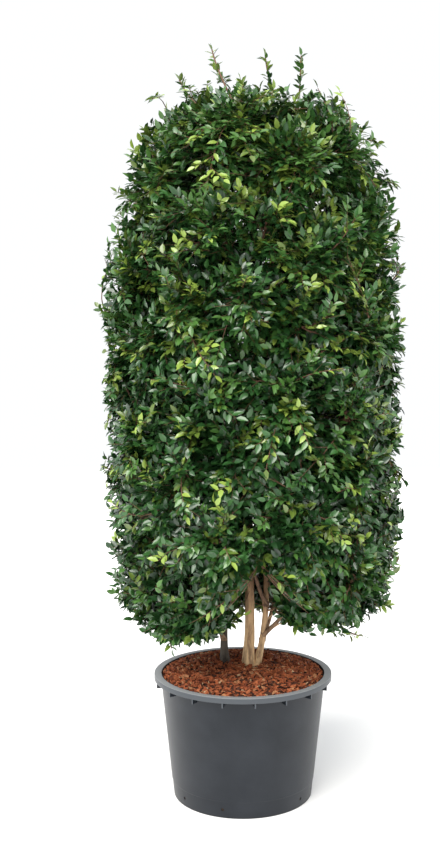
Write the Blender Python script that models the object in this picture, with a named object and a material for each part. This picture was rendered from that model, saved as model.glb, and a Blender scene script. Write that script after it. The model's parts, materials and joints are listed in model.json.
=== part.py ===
"""A tall camellia in a round plastic nursery pot, at its real size.

Units are metres and +Z is up. The origin is the centre of the pot's flat underside, and -Y faces the viewer.
The pot is full of potting mix under a low heap of bark mulch. A trunk of two stems joined at the foot, and a
third stem to its left, stand on the mulch and rise through the middle of the foliage. Boughs leave them at
short collars. Each bough, and the tip of each stem, carries one mass of foliage that keeps to its own space:
a core, twigs that run from one stem to the skin of the crown, and leaves drawn larger than life.
"""

import math
import random

import bmesh
import bpy
from mathutils import Vector
from mathutils.bvhtree import BVHTree

GAP = 0.0003  # between pieces that stand on each other or meet end to end
FLAT_ANGLE = math.radians(0.5)

# The pot: a tapered wall with a step near its foot, and a lip that turns out and down over small webs
POT_HEIGHT = 0.570
POT_FOOT_RADIUS = 0.323
POT_WALL_RADIUS = 0.383
POT_THICKNESS = 0.005
POT_SIDES = 36
STEP_HEIGHT = 0.076
STEP_DEPTH = 0.002
LIP_RADIUS = 0.412
LIP_DEPTH = 0.024
LIP_EDGE = 0.003
WEB_COUNT = 18
WEB_FIRST = math.radians(7.5 - 90.0)
WEB_HEIGHT = 0.045
WEB_THICKNESS = 0.008
DRAIN_RADIUS = 0.007
DRAIN_HEIGHT = 0.039
DRAIN_SIDES = 6
DRAIN_ANGLES = (-144.0, -106.0, -37.0, -14.0, 24.0, 62.0, 101.0, 139.0, 178.0)

# The filling: potting mix under bark mulch that is heaped towards the stems and level where they stand
MIX_TOP = 0.520
MULCH_EDGE = 0.558
MULCH_SHOULDER = 0.590
MULCH_HEAP = 0.600
SEAT_RADIUS = 0.145
MULCH_UNEVEN = 0.004

# The crown's outline: a column with round shoulders, whose underside rises towards the stems
CROWN_X = 0.047
CROWN_RADIUS = 0.640
CROWN_WAIST = 1.95
CROWN_TOP = 3.19
SHOULDER_POWER = 4.0
SKIRT_POWER = 10.0
ROUND_POWER = 2.2
FOOT_HEIGHT = 0.68
FOOT_RISE_RIGHT = 0.07
ARCH_RISE = 0.12
NOTCH_ANGLE = math.radians(-86.0)
NOTCH_WIDTH = math.radians(20.0)
NOTCH_RISE = 0.34
SHAFT_RADIUS = 0.205  # of the space round the crown's axis that the stems and boughs have to themselves
SHAFT_TOP = 2.58
SHAFT_CLOSE = 0.25

# The masses, by tier: height of the hearts, distance from the crown's axis, number, first angle in degrees
TIERS = (
    ("low", 1.08, 0.40, 5, -90.0),
    ("middle", 1.68, 0.40, 5, -54.0),
    ("upper", 2.26, 0.40, 5, -90.0),
    ("top", 2.84, 0.25, 3, 40.0),
)
COMPASS = ("right", "back_right", "back", "back_left", "left", "front_left", "front", "front_right")
FRONT_LIFT = 0.16  # the low mass over the notch has its heart this much higher
STAGGER = 0.08  # the hearts of a tier stand up to this much above or below its height
CORE_INSET = 0.105
CORE_UNEVEN = 0.035
CORE_CLEARANCE = 0.008
CORE_CUTS = 2  # across each side of the box that a core is shaped from
CORE_BOX = (0.20, 0.34, 0.28)  # half of its size outwards, sideways and upwards
REACH_STEP = 0.01

# Stems: the points that each is drawn through from its foot, and its radius at the foot and the tip
STEM_FOOT = MULCH_HEAP + GAP
STEM_TOP = 2.60
MAIN_STEM = (
    (0.028, 0.015, STEM_FOOT),
    (0.032, 0.010, 0.95),
    (0.024, -0.010, 1.60),
    (0.030, -0.040, 2.20),
    (0.050, -0.090, STEM_TOP),
)
RIGHT_STEM = (
    (0.066, 0.008, STEM_FOOT),
    (0.106, 0.002, 0.87),
    (0.110, 0.000, 1.50),
    (0.115, 0.030, 2.10),
    (0.140, 0.080, STEM_TOP),
)
LEFT_STEM = (
    (-0.079, 0.050, STEM_FOOT),
    (-0.088, 0.062, 0.75),
    (-0.060, 0.060, 1.50),
    (-0.045, 0.050, 2.10),
    (-0.050, 0.040, STEM_TOP),
)
MAIN_RADII = (0.026, 0.010)
RIGHT_RADII = (0.015, 0.009)
LEFT_RADII = (0.019, 0.009)
FLARE = 0.45  # share by which a stem is thicker at the mulch
FLARE_HEIGHT = 0.055
BUTTRESSES = 5
BUTTRESS_DEPTH = 0.3
STEM_POWER = 0.8  # how the taper is spread along a stem
BARK_SMOOTH = 60.0  # degrees between faces that are shaded as one
LIMB_SAMPLES = 60  # points along a stem that foliage is kept clear of
BOUGH_SAMPLES = 6
STEM_RINGS = 10
STEM_SIDES = 7

# Boughs and the woody part of the masses
BOUGH_RADII = (0.0112, 0.0082)
BOUGH_SIDES = 5
BOUGH_RINGS = 4
BOUGH_RISE = 0.75  # height gained for each metre outwards
BOUGH_DROP = 0.05  # and this much more
ENTRY_RADIUS = 0.185
ENTRY_DROP = 0.16
LIMB_BEND = 0.4  # share of its length that a limb keeps its first direction
STEM_TAPER = 0.7
COLLAR_LENGTH = 0.026
COLLAR_RISE = 0.75  # for each metre outwards
COLLAR_SWELL = 1.35

# Twigs and leaves. The leaves are drawn about four times their real length, each for a spray
SKIN_TWIGS = 82
TWIG_RADII = (0.012, 0.006)
TWIG_INSET = 0.045
TWIG_UNEVEN = 0.025
TWIG_BEND = 0.55
TWIG_SAG = 0.10
LEAFY_LENGTH = 0.050
LEAF_LENGTH = 0.200
LEAF_WIDTH = 0.50  # of its length
LEAF_THICKNESS = 0.025  # of its length
LEAF_FOLD = 0.10  # of its length, from the midrib up to the edges
LEAF_WIDEST = 0.45
LEAF_SUNK = 0.03  # of its length
FACE_UP = 0.5  # how far leaves turn their upper side to the sky
LEAVES_ON_TWIG = 5
LEAF_SPREAD = math.radians(68.0)
GOLDEN_ANGLE = math.radians(137.5)
TIP_SPREAD = 0.2  # of that spread, for the leaf at the end of a twig
LEAF_SPREADS = (0.8, 1.15)
LEAF_SIZES = (0.85, 1.10)
LEAF_TRIES = 8
LEAF_SHRINK = 0.95  # of its size with each further try to fit it in
OVERSHOOT = 0.06  # how far past the smooth outline a leaf may reach
LEAF_CLEARANCE = 0.006

# Long young shoots that stand out of the outline, by their tips
SHOOT_TIPS = (
    (-0.150, 0.00, 3.450),
    (-0.300, -0.11, 3.285),
    (-0.017, -0.10, 3.285),
    (0.094, 0.05, 3.436),
    (0.267, 0.08, 3.448),
    (0.461, 0.00, 3.189),
    (0.581, 0.05, 3.115),
    (-0.347, 0.02, 3.182),
    (0.120, 0.40, 3.240),
    (-0.200, 0.32, 3.210),
    (-0.462, 0.05, 3.048),
    (0.668, 0.05, 2.857),
    (-0.569, 0.05, 2.809),
    (-0.685, 0.00, 2.290),
    (0.741, 0.00, 2.480),
    (0.744, 0.05, 2.129),
    (0.753, 0.00, 1.137),
    (0.595, -0.10, 0.755),
    (-0.306, -0.20, 0.693),
)
SHOOT_LENGTH = 0.24
SHOOT_LEAF = 0.085
SHOOT_LEAVES = 4
SHOOT_RADII = (0.010, 0.005)
SHOOT_RISE = 0.8
SHOOT_OVERSHOOT = 0.32

TWIG = {
    "radii": TWIG_RADII,
    "rings": 2,
    "leafy": LEAFY_LENGTH,
    "leaves": LEAVES_ON_TWIG,
    "leaf": LEAF_LENGTH,
    "overshoot": OVERSHOOT,
}
SHOOT = {
    "radii": SHOOT_RADII,
    "rings": 4,
    "leafy": SHOOT_LENGTH,
    "leaves": SHOOT_LEAVES,
    "leaf": SHOOT_LEAF,
    "overshoot": SHOOT_OVERSHOOT,
}

COLOURS = {
    "plastic": ((0.065, 0.072, 0.083), 0.45),
    "mix": ((0.030, 0.018, 0.012), 0.95),
    "mulch": ((0.235, 0.070, 0.028), 0.90),
    "bark": ((0.42, 0.27, 0.15), 0.85),
    "leaf": ((0.035, 0.110, 0.032), 0.35),
}


def clear_scene():
    for old in list(bpy.data.objects):
        bpy.data.objects.remove(old, do_unlink=True)


def material(kind):
    """The plain material of one kind of sub-part, made once."""
    made = bpy.data.materials.get(kind)
    if made is None:
        colour, roughness = COLOURS[kind]
        made = bpy.data.materials.new(kind)
        made.use_nodes = True
        shader = made.node_tree.nodes["Principled BSDF"]
        shader.inputs["Base Color"].default_value = (*colour, 1.0)
        shader.inputs["Roughness"].default_value = roughness
        shader.inputs["Metallic"].default_value = 0.0
        made.diffuse_color = (*colour, 1.0)
    return made


def object_of(bm, name, kind):
    """A mesh object from bm, with its faces turned outwards."""
    bmesh.ops.recalc_face_normals(bm, faces=bm.faces)
    mesh = bpy.data.meshes.new(name)
    bm.to_mesh(mesh)
    bm.free()
    mesh.materials.append(material(kind))
    made = bpy.data.objects.new(name, mesh)
    bpy.context.scene.collection.objects.link(made)
    return made


def combined(base, tools, operation, solver="EXACT"):
    """base with one Boolean against all the tools, applied. The tools are removed."""
    collection = bpy.data.collections.new(base.name + "_tools")
    for tool in tools:
        collection.objects.link(tool)
    modifier = base.modifiers.new("combine", "BOOLEAN")
    modifier.operation = operation
    modifier.solver = solver
    modifier.operand_type = "COLLECTION"
    modifier.collection = collection
    graph = bpy.context.evaluated_depsgraph_get()
    mesh = bpy.data.meshes.new_from_object(base.evaluated_get(graph))
    base.modifiers.clear()
    base.data = mesh
    for tool in tools:
        bpy.data.objects.remove(tool, do_unlink=True)
    bpy.data.collections.remove(collection)
    return base


def keep_outer_body(made):
    """Drops the loose scraps that fusing leaves, and the walls of hollows that it seals."""
    bm = bmesh.new()
    bm.from_mesh(made.data)
    unseen = set(bm.verts)
    bodies = []
    while unseen:
        front = [unseen.pop()]
        body = set(front)
        while front:
            for edge in front.pop().link_edges:
                for vert in edge.verts:
                    if vert in unseen:
                        unseen.discard(vert)
                        body.add(vert)
                        front.append(vert)
        bodies.append(body)
    largest = max(bodies, key=len)
    bmesh.ops.delete(bm, geom=[v for v in bm.verts if v not in largest], context="VERTS")
    bm.to_mesh(made.data)
    bm.free()


def merge_flat_faces(made):
    """Joins the flat faces that a Boolean has split, and cuts the result into triangles again."""
    bm = bmesh.new()
    bm.from_mesh(made.data)
    bmesh.ops.dissolve_limit(bm, angle_limit=FLAT_ANGLE, verts=bm.verts, edges=bm.edges)
    bmesh.ops.triangulate(bm, faces=bm.faces)
    if all(len(edge.link_faces) == 2 for edge in bm.edges):
        bm.to_mesh(made.data)
    bm.free()


def smooth_by_angle(made, degrees=35.0):
    made.data.shade_smooth()
    made.data.set_sharp_from_angle(angle=math.radians(degrees))


def spun(profile, sides, name, kind):
    """The outline (radius, height) turned about Z. It starts and ends on the axis."""
    bm = bmesh.new()
    points = [bm.verts.new((radius, 0.0, height)) for radius, height in profile]
    edges = [bm.edges.new(pair) for pair in zip(points, points[1:])]
    bmesh.ops.spin(
        bm,
        geom=points + edges,
        cent=(0.0, 0.0, 0.0),
        axis=(0.0, 0.0, 1.0),
        angle=math.tau,
        steps=sides,
        use_merge=True,
    )
    bmesh.ops.remove_doubles(bm, verts=bm.verts, dist=1e-6)
    return object_of(bm, name, kind)


def wall_radius(height):
    """Outer radius of the pot's wall above the step."""
    under_lip = POT_HEIGHT - LIP_EDGE
    return POT_FOOT_RADIUS + (POT_WALL_RADIUS - POT_FOOT_RADIUS) * height / under_lip


def inner_radius(height):
    return wall_radius(height) - POT_THICKNESS


def build_pot():
    lip_bottom = POT_HEIGHT - LIP_DEPTH
    under_lip = POT_HEIGHT - 2 * LIP_EDGE
    outline = [
        (0.0, 0.0),
        (POT_FOOT_RADIUS - STEP_DEPTH, 0.0),
        (wall_radius(STEP_HEIGHT) - STEP_DEPTH, STEP_HEIGHT),
        (wall_radius(STEP_HEIGHT), STEP_HEIGHT + STEP_DEPTH),
        (wall_radius(under_lip), under_lip),
        (LIP_RADIUS - LIP_EDGE, under_lip),
        (LIP_RADIUS - LIP_EDGE, lip_bottom),
        (LIP_RADIUS, lip_bottom),
        (LIP_RADIUS, POT_HEIGHT - LIP_EDGE),
        (LIP_RADIUS - LIP_EDGE, POT_HEIGHT),
        (inner_radius(POT_HEIGHT), POT_HEIGHT),
        (inner_radius(POT_THICKNESS), POT_THICKNESS),
        (0.0, POT_THICKNESS),
    ]
    pot = spun(outline, POT_SIDES, "pot", "plastic")
    combined(pot, [lip_web(i) for i in range(WEB_COUNT)], "UNION")
    combined(pot, [drain_cutter(math.radians(a)) for a in DRAIN_ANGLES], "DIFFERENCE")
    smooth_by_angle(pot)


def block(size, centre, angle, name, kind):
    """A box whose X axis points outwards at the angle."""
    bm = bmesh.new()
    bmesh.ops.create_cube(bm, size=1.0)
    bmesh.ops.scale(bm, vec=size, verts=bm.verts)
    made = object_of(bm, name, kind)
    made.rotation_euler = (0.0, 0.0, angle)
    made.location = centre
    return made


def lip_web(index):
    """One of the upright webs between the wall and the lip. It shows below the lip."""
    angle = WEB_FIRST + index * math.tau / WEB_COUNT
    top = POT_HEIGHT - 1.5 * LIP_EDGE
    bottom = POT_HEIGHT - WEB_HEIGHT
    inside = wall_radius(bottom) - 0.5 * POT_THICKNESS
    outside = LIP_RADIUS - 0.5 * LIP_EDGE
    middle = 0.5 * (inside + outside)
    centre = (middle * math.cos(angle), middle * math.sin(angle), 0.5 * (top + bottom))
    size = (outside - inside, WEB_THICKNESS, top - bottom)
    return block(size, centre, angle, f"web_{index}", "plastic")


def drain_cutter(angle):
    """A rod that pierces the wall near its foot."""
    bm = bmesh.new()
    bmesh.ops.create_cone(
        bm,
        cap_ends=True,
        segments=DRAIN_SIDES,
        radius1=DRAIN_RADIUS,
        radius2=DRAIN_RADIUS,
        depth=8 * POT_THICKNESS,
    )
    made = object_of(bm, "drain", "plastic")
    radius = inner_radius(DRAIN_HEIGHT)
    made.rotation_euler = (0.0, math.pi / 2, angle)
    made.location = (radius * math.cos(angle), radius * math.sin(angle), DRAIN_HEIGHT)
    return made


def build_filling():
    """The potting mix, and the bark mulch that covers it."""
    bottom = POT_THICKNESS + GAP
    mix = [
        (0.0, bottom),
        (inner_radius(bottom) - GAP, bottom),
        (inner_radius(MIX_TOP) - GAP, MIX_TOP),
        (0.0, MIX_TOP),
    ]
    smooth_by_angle(spun(mix, POT_SIDES, "potting_mix", "mix"))
    low = MIX_TOP + GAP
    edge = inner_radius(MULCH_EDGE) - GAP
    shoulder = 0.5 * (edge + SEAT_RADIUS)
    mulch = [
        (0.0, low),
        (inner_radius(low) - GAP, low),
        (edge, MULCH_EDGE),
        (shoulder, MULCH_SHOULDER),
        (SEAT_RADIUS, MULCH_HEAP),
        (0.0, MULCH_HEAP),
    ]
    heap = spun(mulch, POT_SIDES, "bark_mulch", "mulch")
    rng = random.Random(4)
    for vert in heap.data.vertices:
        radius = math.hypot(vert.co.x, vert.co.y)
        if radius > SEAT_RADIUS + MULCH_UNEVEN and vert.co.z > MULCH_EDGE + MULCH_UNEVEN:
            vert.co.z += rng.uniform(-MULCH_UNEVEN, MULCH_UNEVEN)
    heap.data.shade_smooth()


def wrapped(angle):
    """The angle brought between -pi and pi."""
    return (angle + math.pi) % math.tau - math.pi


def foot_height(azimuth):
    """Height of the crown's lowest leaves. The notch in front shows the trunk; the right side hangs less."""
    notch = NOTCH_RISE * math.exp(-((wrapped(azimuth - NOTCH_ANGLE) / NOTCH_WIDTH) ** 2))
    return FOOT_HEIGHT + notch + FOOT_RISE_RIGHT * 0.5 * (1.0 + math.cos(azimuth))


def meridian(t, azimuth):
    """(radius, height) on the outline, from the middle of the underside at t = -1 to the top at t = 1."""
    power = SHOULDER_POWER if t > 0 else SKIRT_POWER
    share = max(0.0, 1.0 - abs(t) ** power) ** (1.0 / ROUND_POWER)
    if t > 0:
        return CROWN_RADIUS * share, CROWN_WAIST + t * (CROWN_TOP - CROWN_WAIST)
    height = CROWN_WAIST + t * (CROWN_WAIST - foot_height(azimuth))
    return CROWN_RADIUS * share, height + ARCH_RISE * (1.0 - share)


def polar(point):
    """(radius, azimuth) about the crown's axis."""
    x = point[0] - CROWN_X
    return math.hypot(x, point[1]), math.atan2(point[1], x)


def inside_crown(point, inset):
    """Whether the point is at least inset inside the outline. A negative inset lets it stand out."""
    radius, azimuth = polar(point)
    share = max(0.0, radius + inset) / CROWN_RADIUS
    if share >= 1.0:
        return False
    rest = 1.0 - share**ROUND_POWER
    top = CROWN_WAIST + rest ** (1.0 / SHOULDER_POWER) * (CROWN_TOP - CROWN_WAIST)
    depth = rest ** (1.0 / SKIRT_POWER) * (CROWN_WAIST - foot_height(azimuth))
    low = CROWN_WAIST - depth + ARCH_RISE * (1.0 - share)
    return low + 0.5 * inset <= point[2] <= top - inset


def shaft_radius(height):
    """Radius of the space round the crown's axis that is left to the limbs."""
    return SHAFT_RADIUS * min(1.0, max(0.0, (SHAFT_TOP + SHAFT_CLOSE - height) / SHAFT_CLOSE))


def on_crown(radius, azimuth, height):
    """The point at that distance from the crown's axis."""
    return Vector((CROWN_X + radius * math.cos(azimuth), radius * math.sin(azimuth), height))


def compass_name(degrees):
    return COMPASS[round(degrees / 45.0) % len(COMPASS)]


def list_masses():
    """One record for each mass of foliage: its name, tier, heart and where its stem enters."""
    masses = []
    for tier, height, distance, count, first in TIERS:
        for index in range(count):
            degrees = first + index * 360.0 / count
            azimuth = math.radians(degrees)
            side = compass_name(degrees)
            lift = STAGGER * math.cos((index + count) * GOLDEN_ANGLE)
            if (tier, side) == ("low", "front"):
                lift = FRONT_LIFT
            masses.append(
                {
                    "name": f"{tier}_{side}",
                    "tier": tier,
                    "azimuth": azimuth,
                    "heart": on_crown(distance, azimuth, height + lift),
                    "entry": on_crown(ENTRY_RADIUS, azimuth, height + lift - ENTRY_DROP),
                }
            )
    return masses


def border_distance(masses, mine, point):
    """How far the point is inside the space of its mass, from the nearest border with another."""
    heart = masses[mine]["heart"]
    own = (point - heart).length_squared
    nearest = math.inf
    for index, other in enumerate(masses):
        if index != mine:
            apart = (other["heart"] - heart).length
            nearest = min(nearest, ((point - other["heart"]).length_squared - own) / (2 * apart))
    return nearest


def owner_of(masses, point):
    return min(range(len(masses)), key=lambda index: (point - masses[index]["heart"]).length_squared)


def frame_of(tangent):
    """Two directions at right angles to the tangent and to each other."""
    reference = Vector((0.0, 0.0, 1.0)) if abs(tangent.z) < 0.9 else Vector((0.0, 1.0, 0.0))
    across = tangent.cross(reference).normalized()
    return across, tangent.cross(across)


def ring(centre, tangent, radius, sides, swell=None):
    across, up = frame_of(tangent)
    points = []
    for k in range(sides):
        angle = math.tau * k / sides
        size = radius * (swell(angle) if swell else 1.0)
        points.append(centre + size * (math.cos(angle) * across + math.sin(angle) * up))
    return points


def lofted(rings, name, kind):
    """A closed body through rings of equally many points."""
    bm = bmesh.new()
    loops = [[bm.verts.new(point) for point in points] for points in rings]
    for low, high in zip(loops, loops[1:]):
        for k in range(len(low)):
            after = (k + 1) % len(low)
            bm.faces.new((low[k], low[after], high[after], high[k]))
    bm.faces.new(loops[0])
    bm.faces.new(loops[-1])
    bmesh.ops.triangulate(bm, faces=bm.faces)
    return object_of(bm, name, kind)


def spline_point(points, share):
    """The point at that share of a smooth curve through the points (Catmull-Rom)."""
    spans = len(points) - 1
    place = min(share * spans, spans - 1e-9)
    i = int(place)
    t = place - i
    before = points[max(i - 1, 0)]
    here = points[i]
    after = points[i + 1]
    beyond = points[min(i + 2, spans)]
    return 0.5 * (
        2 * here
        + (after - before) * t
        + (2 * before - 5 * here + 4 * after - beyond) * t**2
        + (3 * here - before - 3 * after + beyond) * t**3
    )


def bent_curve(start, bend, tip):
    def curve(t):
        return start * (1 - t) ** 2 + bend * 2 * t * (1 - t) + tip * t**2

    return curve


def tapered(curve, radii, rings, sides, name, kind):
    """A limb along curve(share), with flat ends square to it."""
    step = 1e-3
    loops = []
    for k in range(rings):
        share = k / (rings - 1)
        ahead = min(1.0, share + step)
        behind = max(0.0, share - step)
        tangent = (curve(ahead) - curve(behind)).normalized()
        radius = radii[0] + (radii[1] - radii[0]) * share
        loops.append(ring(curve(share), tangent, radius, sides))
    return lofted(loops, name, kind)


def buttressed(angle):
    return 1.0 + BUTTRESS_DEPTH * math.cos(BUTTRESSES * angle)


class Stem:
    """A stem from its flat foot on the mulch to the tip that carries a mass of the top tier."""

    def __init__(self, name, course, radii, mass):
        self.name = name
        self.radii = radii
        self.mass = mass
        self.points = [Vector(point) for point in course]

    def at(self, share):
        return spline_point(self.points, share)

    def tangent(self, share):
        step = 1e-3
        return (self.at(min(1.0, share + step)) - self.at(max(0.0, share - step))).normalized()

    def radius(self, share):
        return self.radii[0] + (self.radii[1] - self.radii[0]) * share**STEM_POWER

    def share_at(self, height):
        """The share of the way up at which the stem is at that height."""
        low, high = 0.0, 1.0
        for _ in range(30):
            middle = 0.5 * (low + high)
            if self.at(middle).z < height:
                low = middle
            else:
                high = middle
        return low

    def body(self):
        loops = []
        for k in range(STEM_RINGS):
            share = (k / (STEM_RINGS - 1)) ** 1.5
            centre = self.at(share)
            rise = centre.z - STEM_FOOT
            flare = FLARE * math.exp(-rise / FLARE_HEIGHT)
            tangent = Vector((0.0, 0.0, 1.0)) if k == 0 else self.tangent(share)
            loops.append(
                ring(
                    centre,
                    tangent,
                    self.radius(share),
                    STEM_SIDES,
                    lambda angle, flare=flare: 1.0 + flare * buttressed(angle),
                )
            )
        return lofted(loops, self.name, "bark")


def nearest_stem(stems, mass):
    """The stem that a bough to the mass leaves, and the share of the way up where it leaves."""
    entry = mass["entry"]

    def root(stem):
        share = stem.share_at(entry.z)
        for _ in range(3):
            outwards = math.hypot(entry.x - stem.at(share).x, entry.y - stem.at(share).y)
            share = stem.share_at(entry.z - BOUGH_DROP - BOUGH_RISE * outwards)
        return share

    return min(((stem, root(stem)) for stem in stems), key=lambda pair: (entry - pair[0].at(pair[1])).length)


def build_bough(mass, stem, share):
    """A bough from its collar on the stem to the mass. It returns the collar, to be fused to the stem."""
    start = stem.at(share)
    entry = mass["entry"]
    level = Vector((entry.x - start.x, entry.y - start.y, 0.0)).normalized()
    out = (level + Vector((0.0, 0.0, COLLAR_RISE))).normalized()
    seat = start + out * (stem.radius(share) + COLLAR_LENGTH)
    foot = seat + out * GAP
    curve = bent_curve(foot, foot + out * LIMB_BEND * (entry - foot).length, entry)
    swollen = BOUGH_RADII[0] * COLLAR_SWELL
    collar = lofted(
        [ring(start, out, swollen, BOUGH_SIDES), ring(seat, out, BOUGH_RADII[0], BOUGH_SIDES)],
        "collar_" + mass["name"],
        "bark",
    )
    bough = tapered(curve, BOUGH_RADII, BOUGH_RINGS, BOUGH_SIDES, "bough_" + mass["name"], "bark")
    smooth_by_angle(bough, BARK_SMOOTH)
    mass["limb_end"] = (curve(1.0), (curve(1.0) - curve(0.999)).normalized(), BOUGH_RADII[1])
    mass["limb"] = [(curve(t / BOUGH_SAMPLES), BOUGH_RADII[0]) for t in range(BOUGH_SAMPLES + 1)]
    return collar


def build_limbs(masses):
    """The trunk, the left stem and the boughs. It returns points along them, with the radius at each."""
    tops = {mass["name"]: mass for mass in masses if mass["tier"] == "top"}
    stems = [
        Stem("trunk", MAIN_STEM, MAIN_RADII, tops["top_front"]),
        Stem("right_stem", RIGHT_STEM, RIGHT_RADII, tops["top_back_right"]),
        Stem("left_stem", LEFT_STEM, LEFT_RADII, tops["top_left"]),
    ]
    collars = {stem.name: [] for stem in stems}
    limbs = []
    for mass in masses:
        if mass["tier"] != "top":
            stem, share = nearest_stem(stems, mass)
            collars[stem.name].append(build_bough(mass, stem, share))
            limbs += mass["limb"]
    for stem in stems:
        stem.mass["limb_end"] = (stem.at(1.0), stem.tangent(1.0), stem.radii[1])
        shares = [k / LIMB_SAMPLES for k in range(LIMB_SAMPLES + 1)]
        limbs += [(stem.at(share), stem.radius(share)) for share in shares]
    bodies = {stem.name: stem.body() for stem in stems}
    combined(bodies["trunk"], [bodies["right_stem"]] + collars["trunk"] + collars["right_stem"], "UNION")
    combined(bodies["left_stem"], collars["left_stem"], "UNION")
    for name in ("trunk", "left_stem"):
        merge_flat_faces(bodies[name])
        smooth_by_angle(bodies[name], BARK_SMOOTH)
    return limbs


def clear_of_limbs(limbs, point, clearance):
    return all((point - centre).length > radius + clearance for centre, radius in limbs)


def build_core(masses, mine):
    """The dense inside of a mass: a box whose points are drawn out to the edge of the mass's space."""
    mass = masses[mine]
    outwards = Vector((math.cos(mass["azimuth"]), math.sin(mass["azimuth"]), 0.0))
    sideways = Vector((-outwards.y, outwards.x, 0.0))
    bm = bmesh.new()
    bmesh.ops.create_cube(bm, size=2.0)
    bmesh.ops.subdivide_edges(bm, edges=bm.edges, cuts=CORE_CUTS, use_grid_fill=True)

    def within(point, inset):
        return (
            inside_crown(point, inset)
            and border_distance(masses, mine, point) > CORE_CLEARANCE
            and polar(point)[0] > shaft_radius(point.z) + CORE_CLEARANCE
        )

    rng = random.Random(mine)
    for vert in bm.verts:
        out, side, up = (share * half for share, half in zip(vert.co, CORE_BOX))
        direction = (out * outwards + side * sideways + Vector((0.0, 0.0, up))).normalized()
        inset = CORE_INSET + rng.uniform(-CORE_UNEVEN, CORE_UNEVEN)
        reach = REACH_STEP
        while within(mass["heart"] + direction * (reach + REACH_STEP), inset):
            reach += REACH_STEP
        vert.co = mass["heart"] + direction * reach
    bmesh.ops.triangulate(bm, faces=bm.faces)
    return object_of(bm, "foliage_" + mass["name"], "leaf")


def skin_points(count):
    """Points spread evenly over the crown's outline by the additive R2 sequence, as (t, azimuth)."""
    steps = 400
    areas = [0.0]
    before = meridian(-1.0, math.pi)
    for k in range(1, steps + 1):
        here = meridian(-1.0 + 2.0 * k / steps, math.pi)
        width = math.hypot(here[0] - before[0], here[1] - before[1])
        areas.append(areas[-1] + width * (here[0] + before[0]))
        before = here
    plastic = 1.32471795724474602596
    found = []
    for index in range(count):
        wanted = areas[-1] * ((0.5 + index / plastic) % 1.0)
        k = next(k for k, area in enumerate(areas) if area >= wanted)
        found.append((-1.0 + 2.0 * k / steps, math.tau * ((0.5 + index / plastic**2) % 1.0)))
    return found


def twig_curve(heart, tip):
    """From the heart to the tip, low at first and turned up at its end."""
    sag = Vector((0.0, 0.0, TWIG_SAG * (tip - heart).length))
    return bent_curve(heart, heart.lerp(tip, TWIG_BEND) - sag, tip)


def shoot_curve(heart, tip):
    """From the heart to the foot of the last leaf, whose tip is the shoot's. It is steep at its end."""
    rise = ((tip - heart).normalized() + Vector((0.0, 0.0, SHOOT_RISE))).normalized()
    return bent_curve(heart, tip - rise * SHOOT_LENGTH, tip - rise * SHOOT_LEAF)


# Corners of a leaf: 0 root, 1 tip, 2 left, 3 right, 4 above and 5 below the midrib
LEAF_FACES = (
    (0, 2, 4),
    (2, 1, 4),
    (1, 3, 4),
    (3, 0, 4),
    (0, 2, 5),
    (2, 1, 5),
    (1, 3, 5),
    (3, 0, 5),
)


def leaf_points(root, direction, facing, length):
    """The six corners of a folded leaf: root, tip, left, right, and the midrib above and below."""
    across = direction.cross(facing).normalized()
    normal = across.cross(direction).normalized()
    middle = root + direction * (LEAF_WIDEST * length)
    side = across * (0.5 * LEAF_WIDTH * length)
    fold = normal * (LEAF_FOLD * length)
    thick = normal * (LEAF_THICKNESS * length)
    return [
        root,
        root + direction * length,
        middle - side + fold,
        middle + side + fold,
        middle + 0.5 * thick,
        middle - 0.5 * thick,
    ]


def leaf_body(points):
    bm = bmesh.new()
    corners = [bm.verts.new(point) for point in points]
    for face in LEAF_FACES:
        bm.faces.new([corners[k] for k in face])
    return object_of(bm, "leaf", "leaf")


def surface_of(made):
    """The surface of an object that stands at the origin, for tests of overlap."""
    mesh = made.data
    return BVHTree.FromPolygons([v.co for v in mesh.vertices], [tuple(p.vertices) for p in mesh.polygons])


def leaf_surface(points):
    return BVHTree.FromPolygons(points, LEAF_FACES)


def crosses(points, surfaces):
    leaf = leaf_surface(points)
    return any(leaf.overlap(surface) for surface in surfaces)


def leaf_on(curve, share, angle, spread, size):
    """Corner points of a leaf that leaves the twig at that share of it."""
    tangent = (curve(share) - curve(share - 0.02)).normalized()
    across, up = frame_of(tangent)
    aside = math.cos(angle) * across + math.sin(angle) * up
    direction = (math.cos(spread) * tangent + math.sin(spread) * aside).normalized()
    seen_from = aside if spread < 0.5 * LEAF_SPREAD else tangent
    facing = (seen_from + Vector((0.0, 0.0, FACE_UP))).normalized()
    return leaf_points(curve(share) - direction * LEAF_SUNK * size, direction, facing, size)


def keeps_to_space(masses, mine, limbs, points, overshoot):
    """Whether all the points are in the space of the mass, above the pot and clear of the limbs."""
    middle = sum(points, Vector()) / len(points)
    for point in points + [middle]:
        if border_distance(masses, mine, point) < LEAF_CLEARANCE:
            return False
        if polar(point)[0] < shaft_radius(point.z):
            return False
        if point.z < POT_HEIGHT + 2 * LEAF_CLEARANCE:
            return False
        if not inside_crown(point, -overshoot):
            return False
        if not clear_of_limbs(limbs, point, LEAF_CLEARANCE):
            return False
    return True


def build_foliage(masses, limbs):
    """Deals the twigs out to the masses by the place of their tips, and builds every mass."""
    twigs = {index: [] for index in range(len(masses))}
    rng = random.Random(21)
    for t, azimuth in skin_points(SKIN_TWIGS):
        radius, height = meridian(t, azimuth)
        skin = on_crown(radius, azimuth, height)
        mine = owner_of(masses, skin)
        heart = masses[mine]["heart"]
        inset = TWIG_INSET + rng.uniform(-TWIG_UNEVEN, TWIG_UNEVEN)
        tip = skin + (heart - skin).normalized() * inset
        twigs[mine].append((twig_curve(heart, tip), TWIG))
    for tip in map(Vector, SHOOT_TIPS):
        mine = owner_of(masses, tip)
        twigs[mine].append((shoot_curve(masses[mine]["heart"], tip), SHOOT))
    for mine in range(len(masses)):
        build_mass(masses, mine, limbs, twigs[mine], random.Random(100 + mine))


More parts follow.
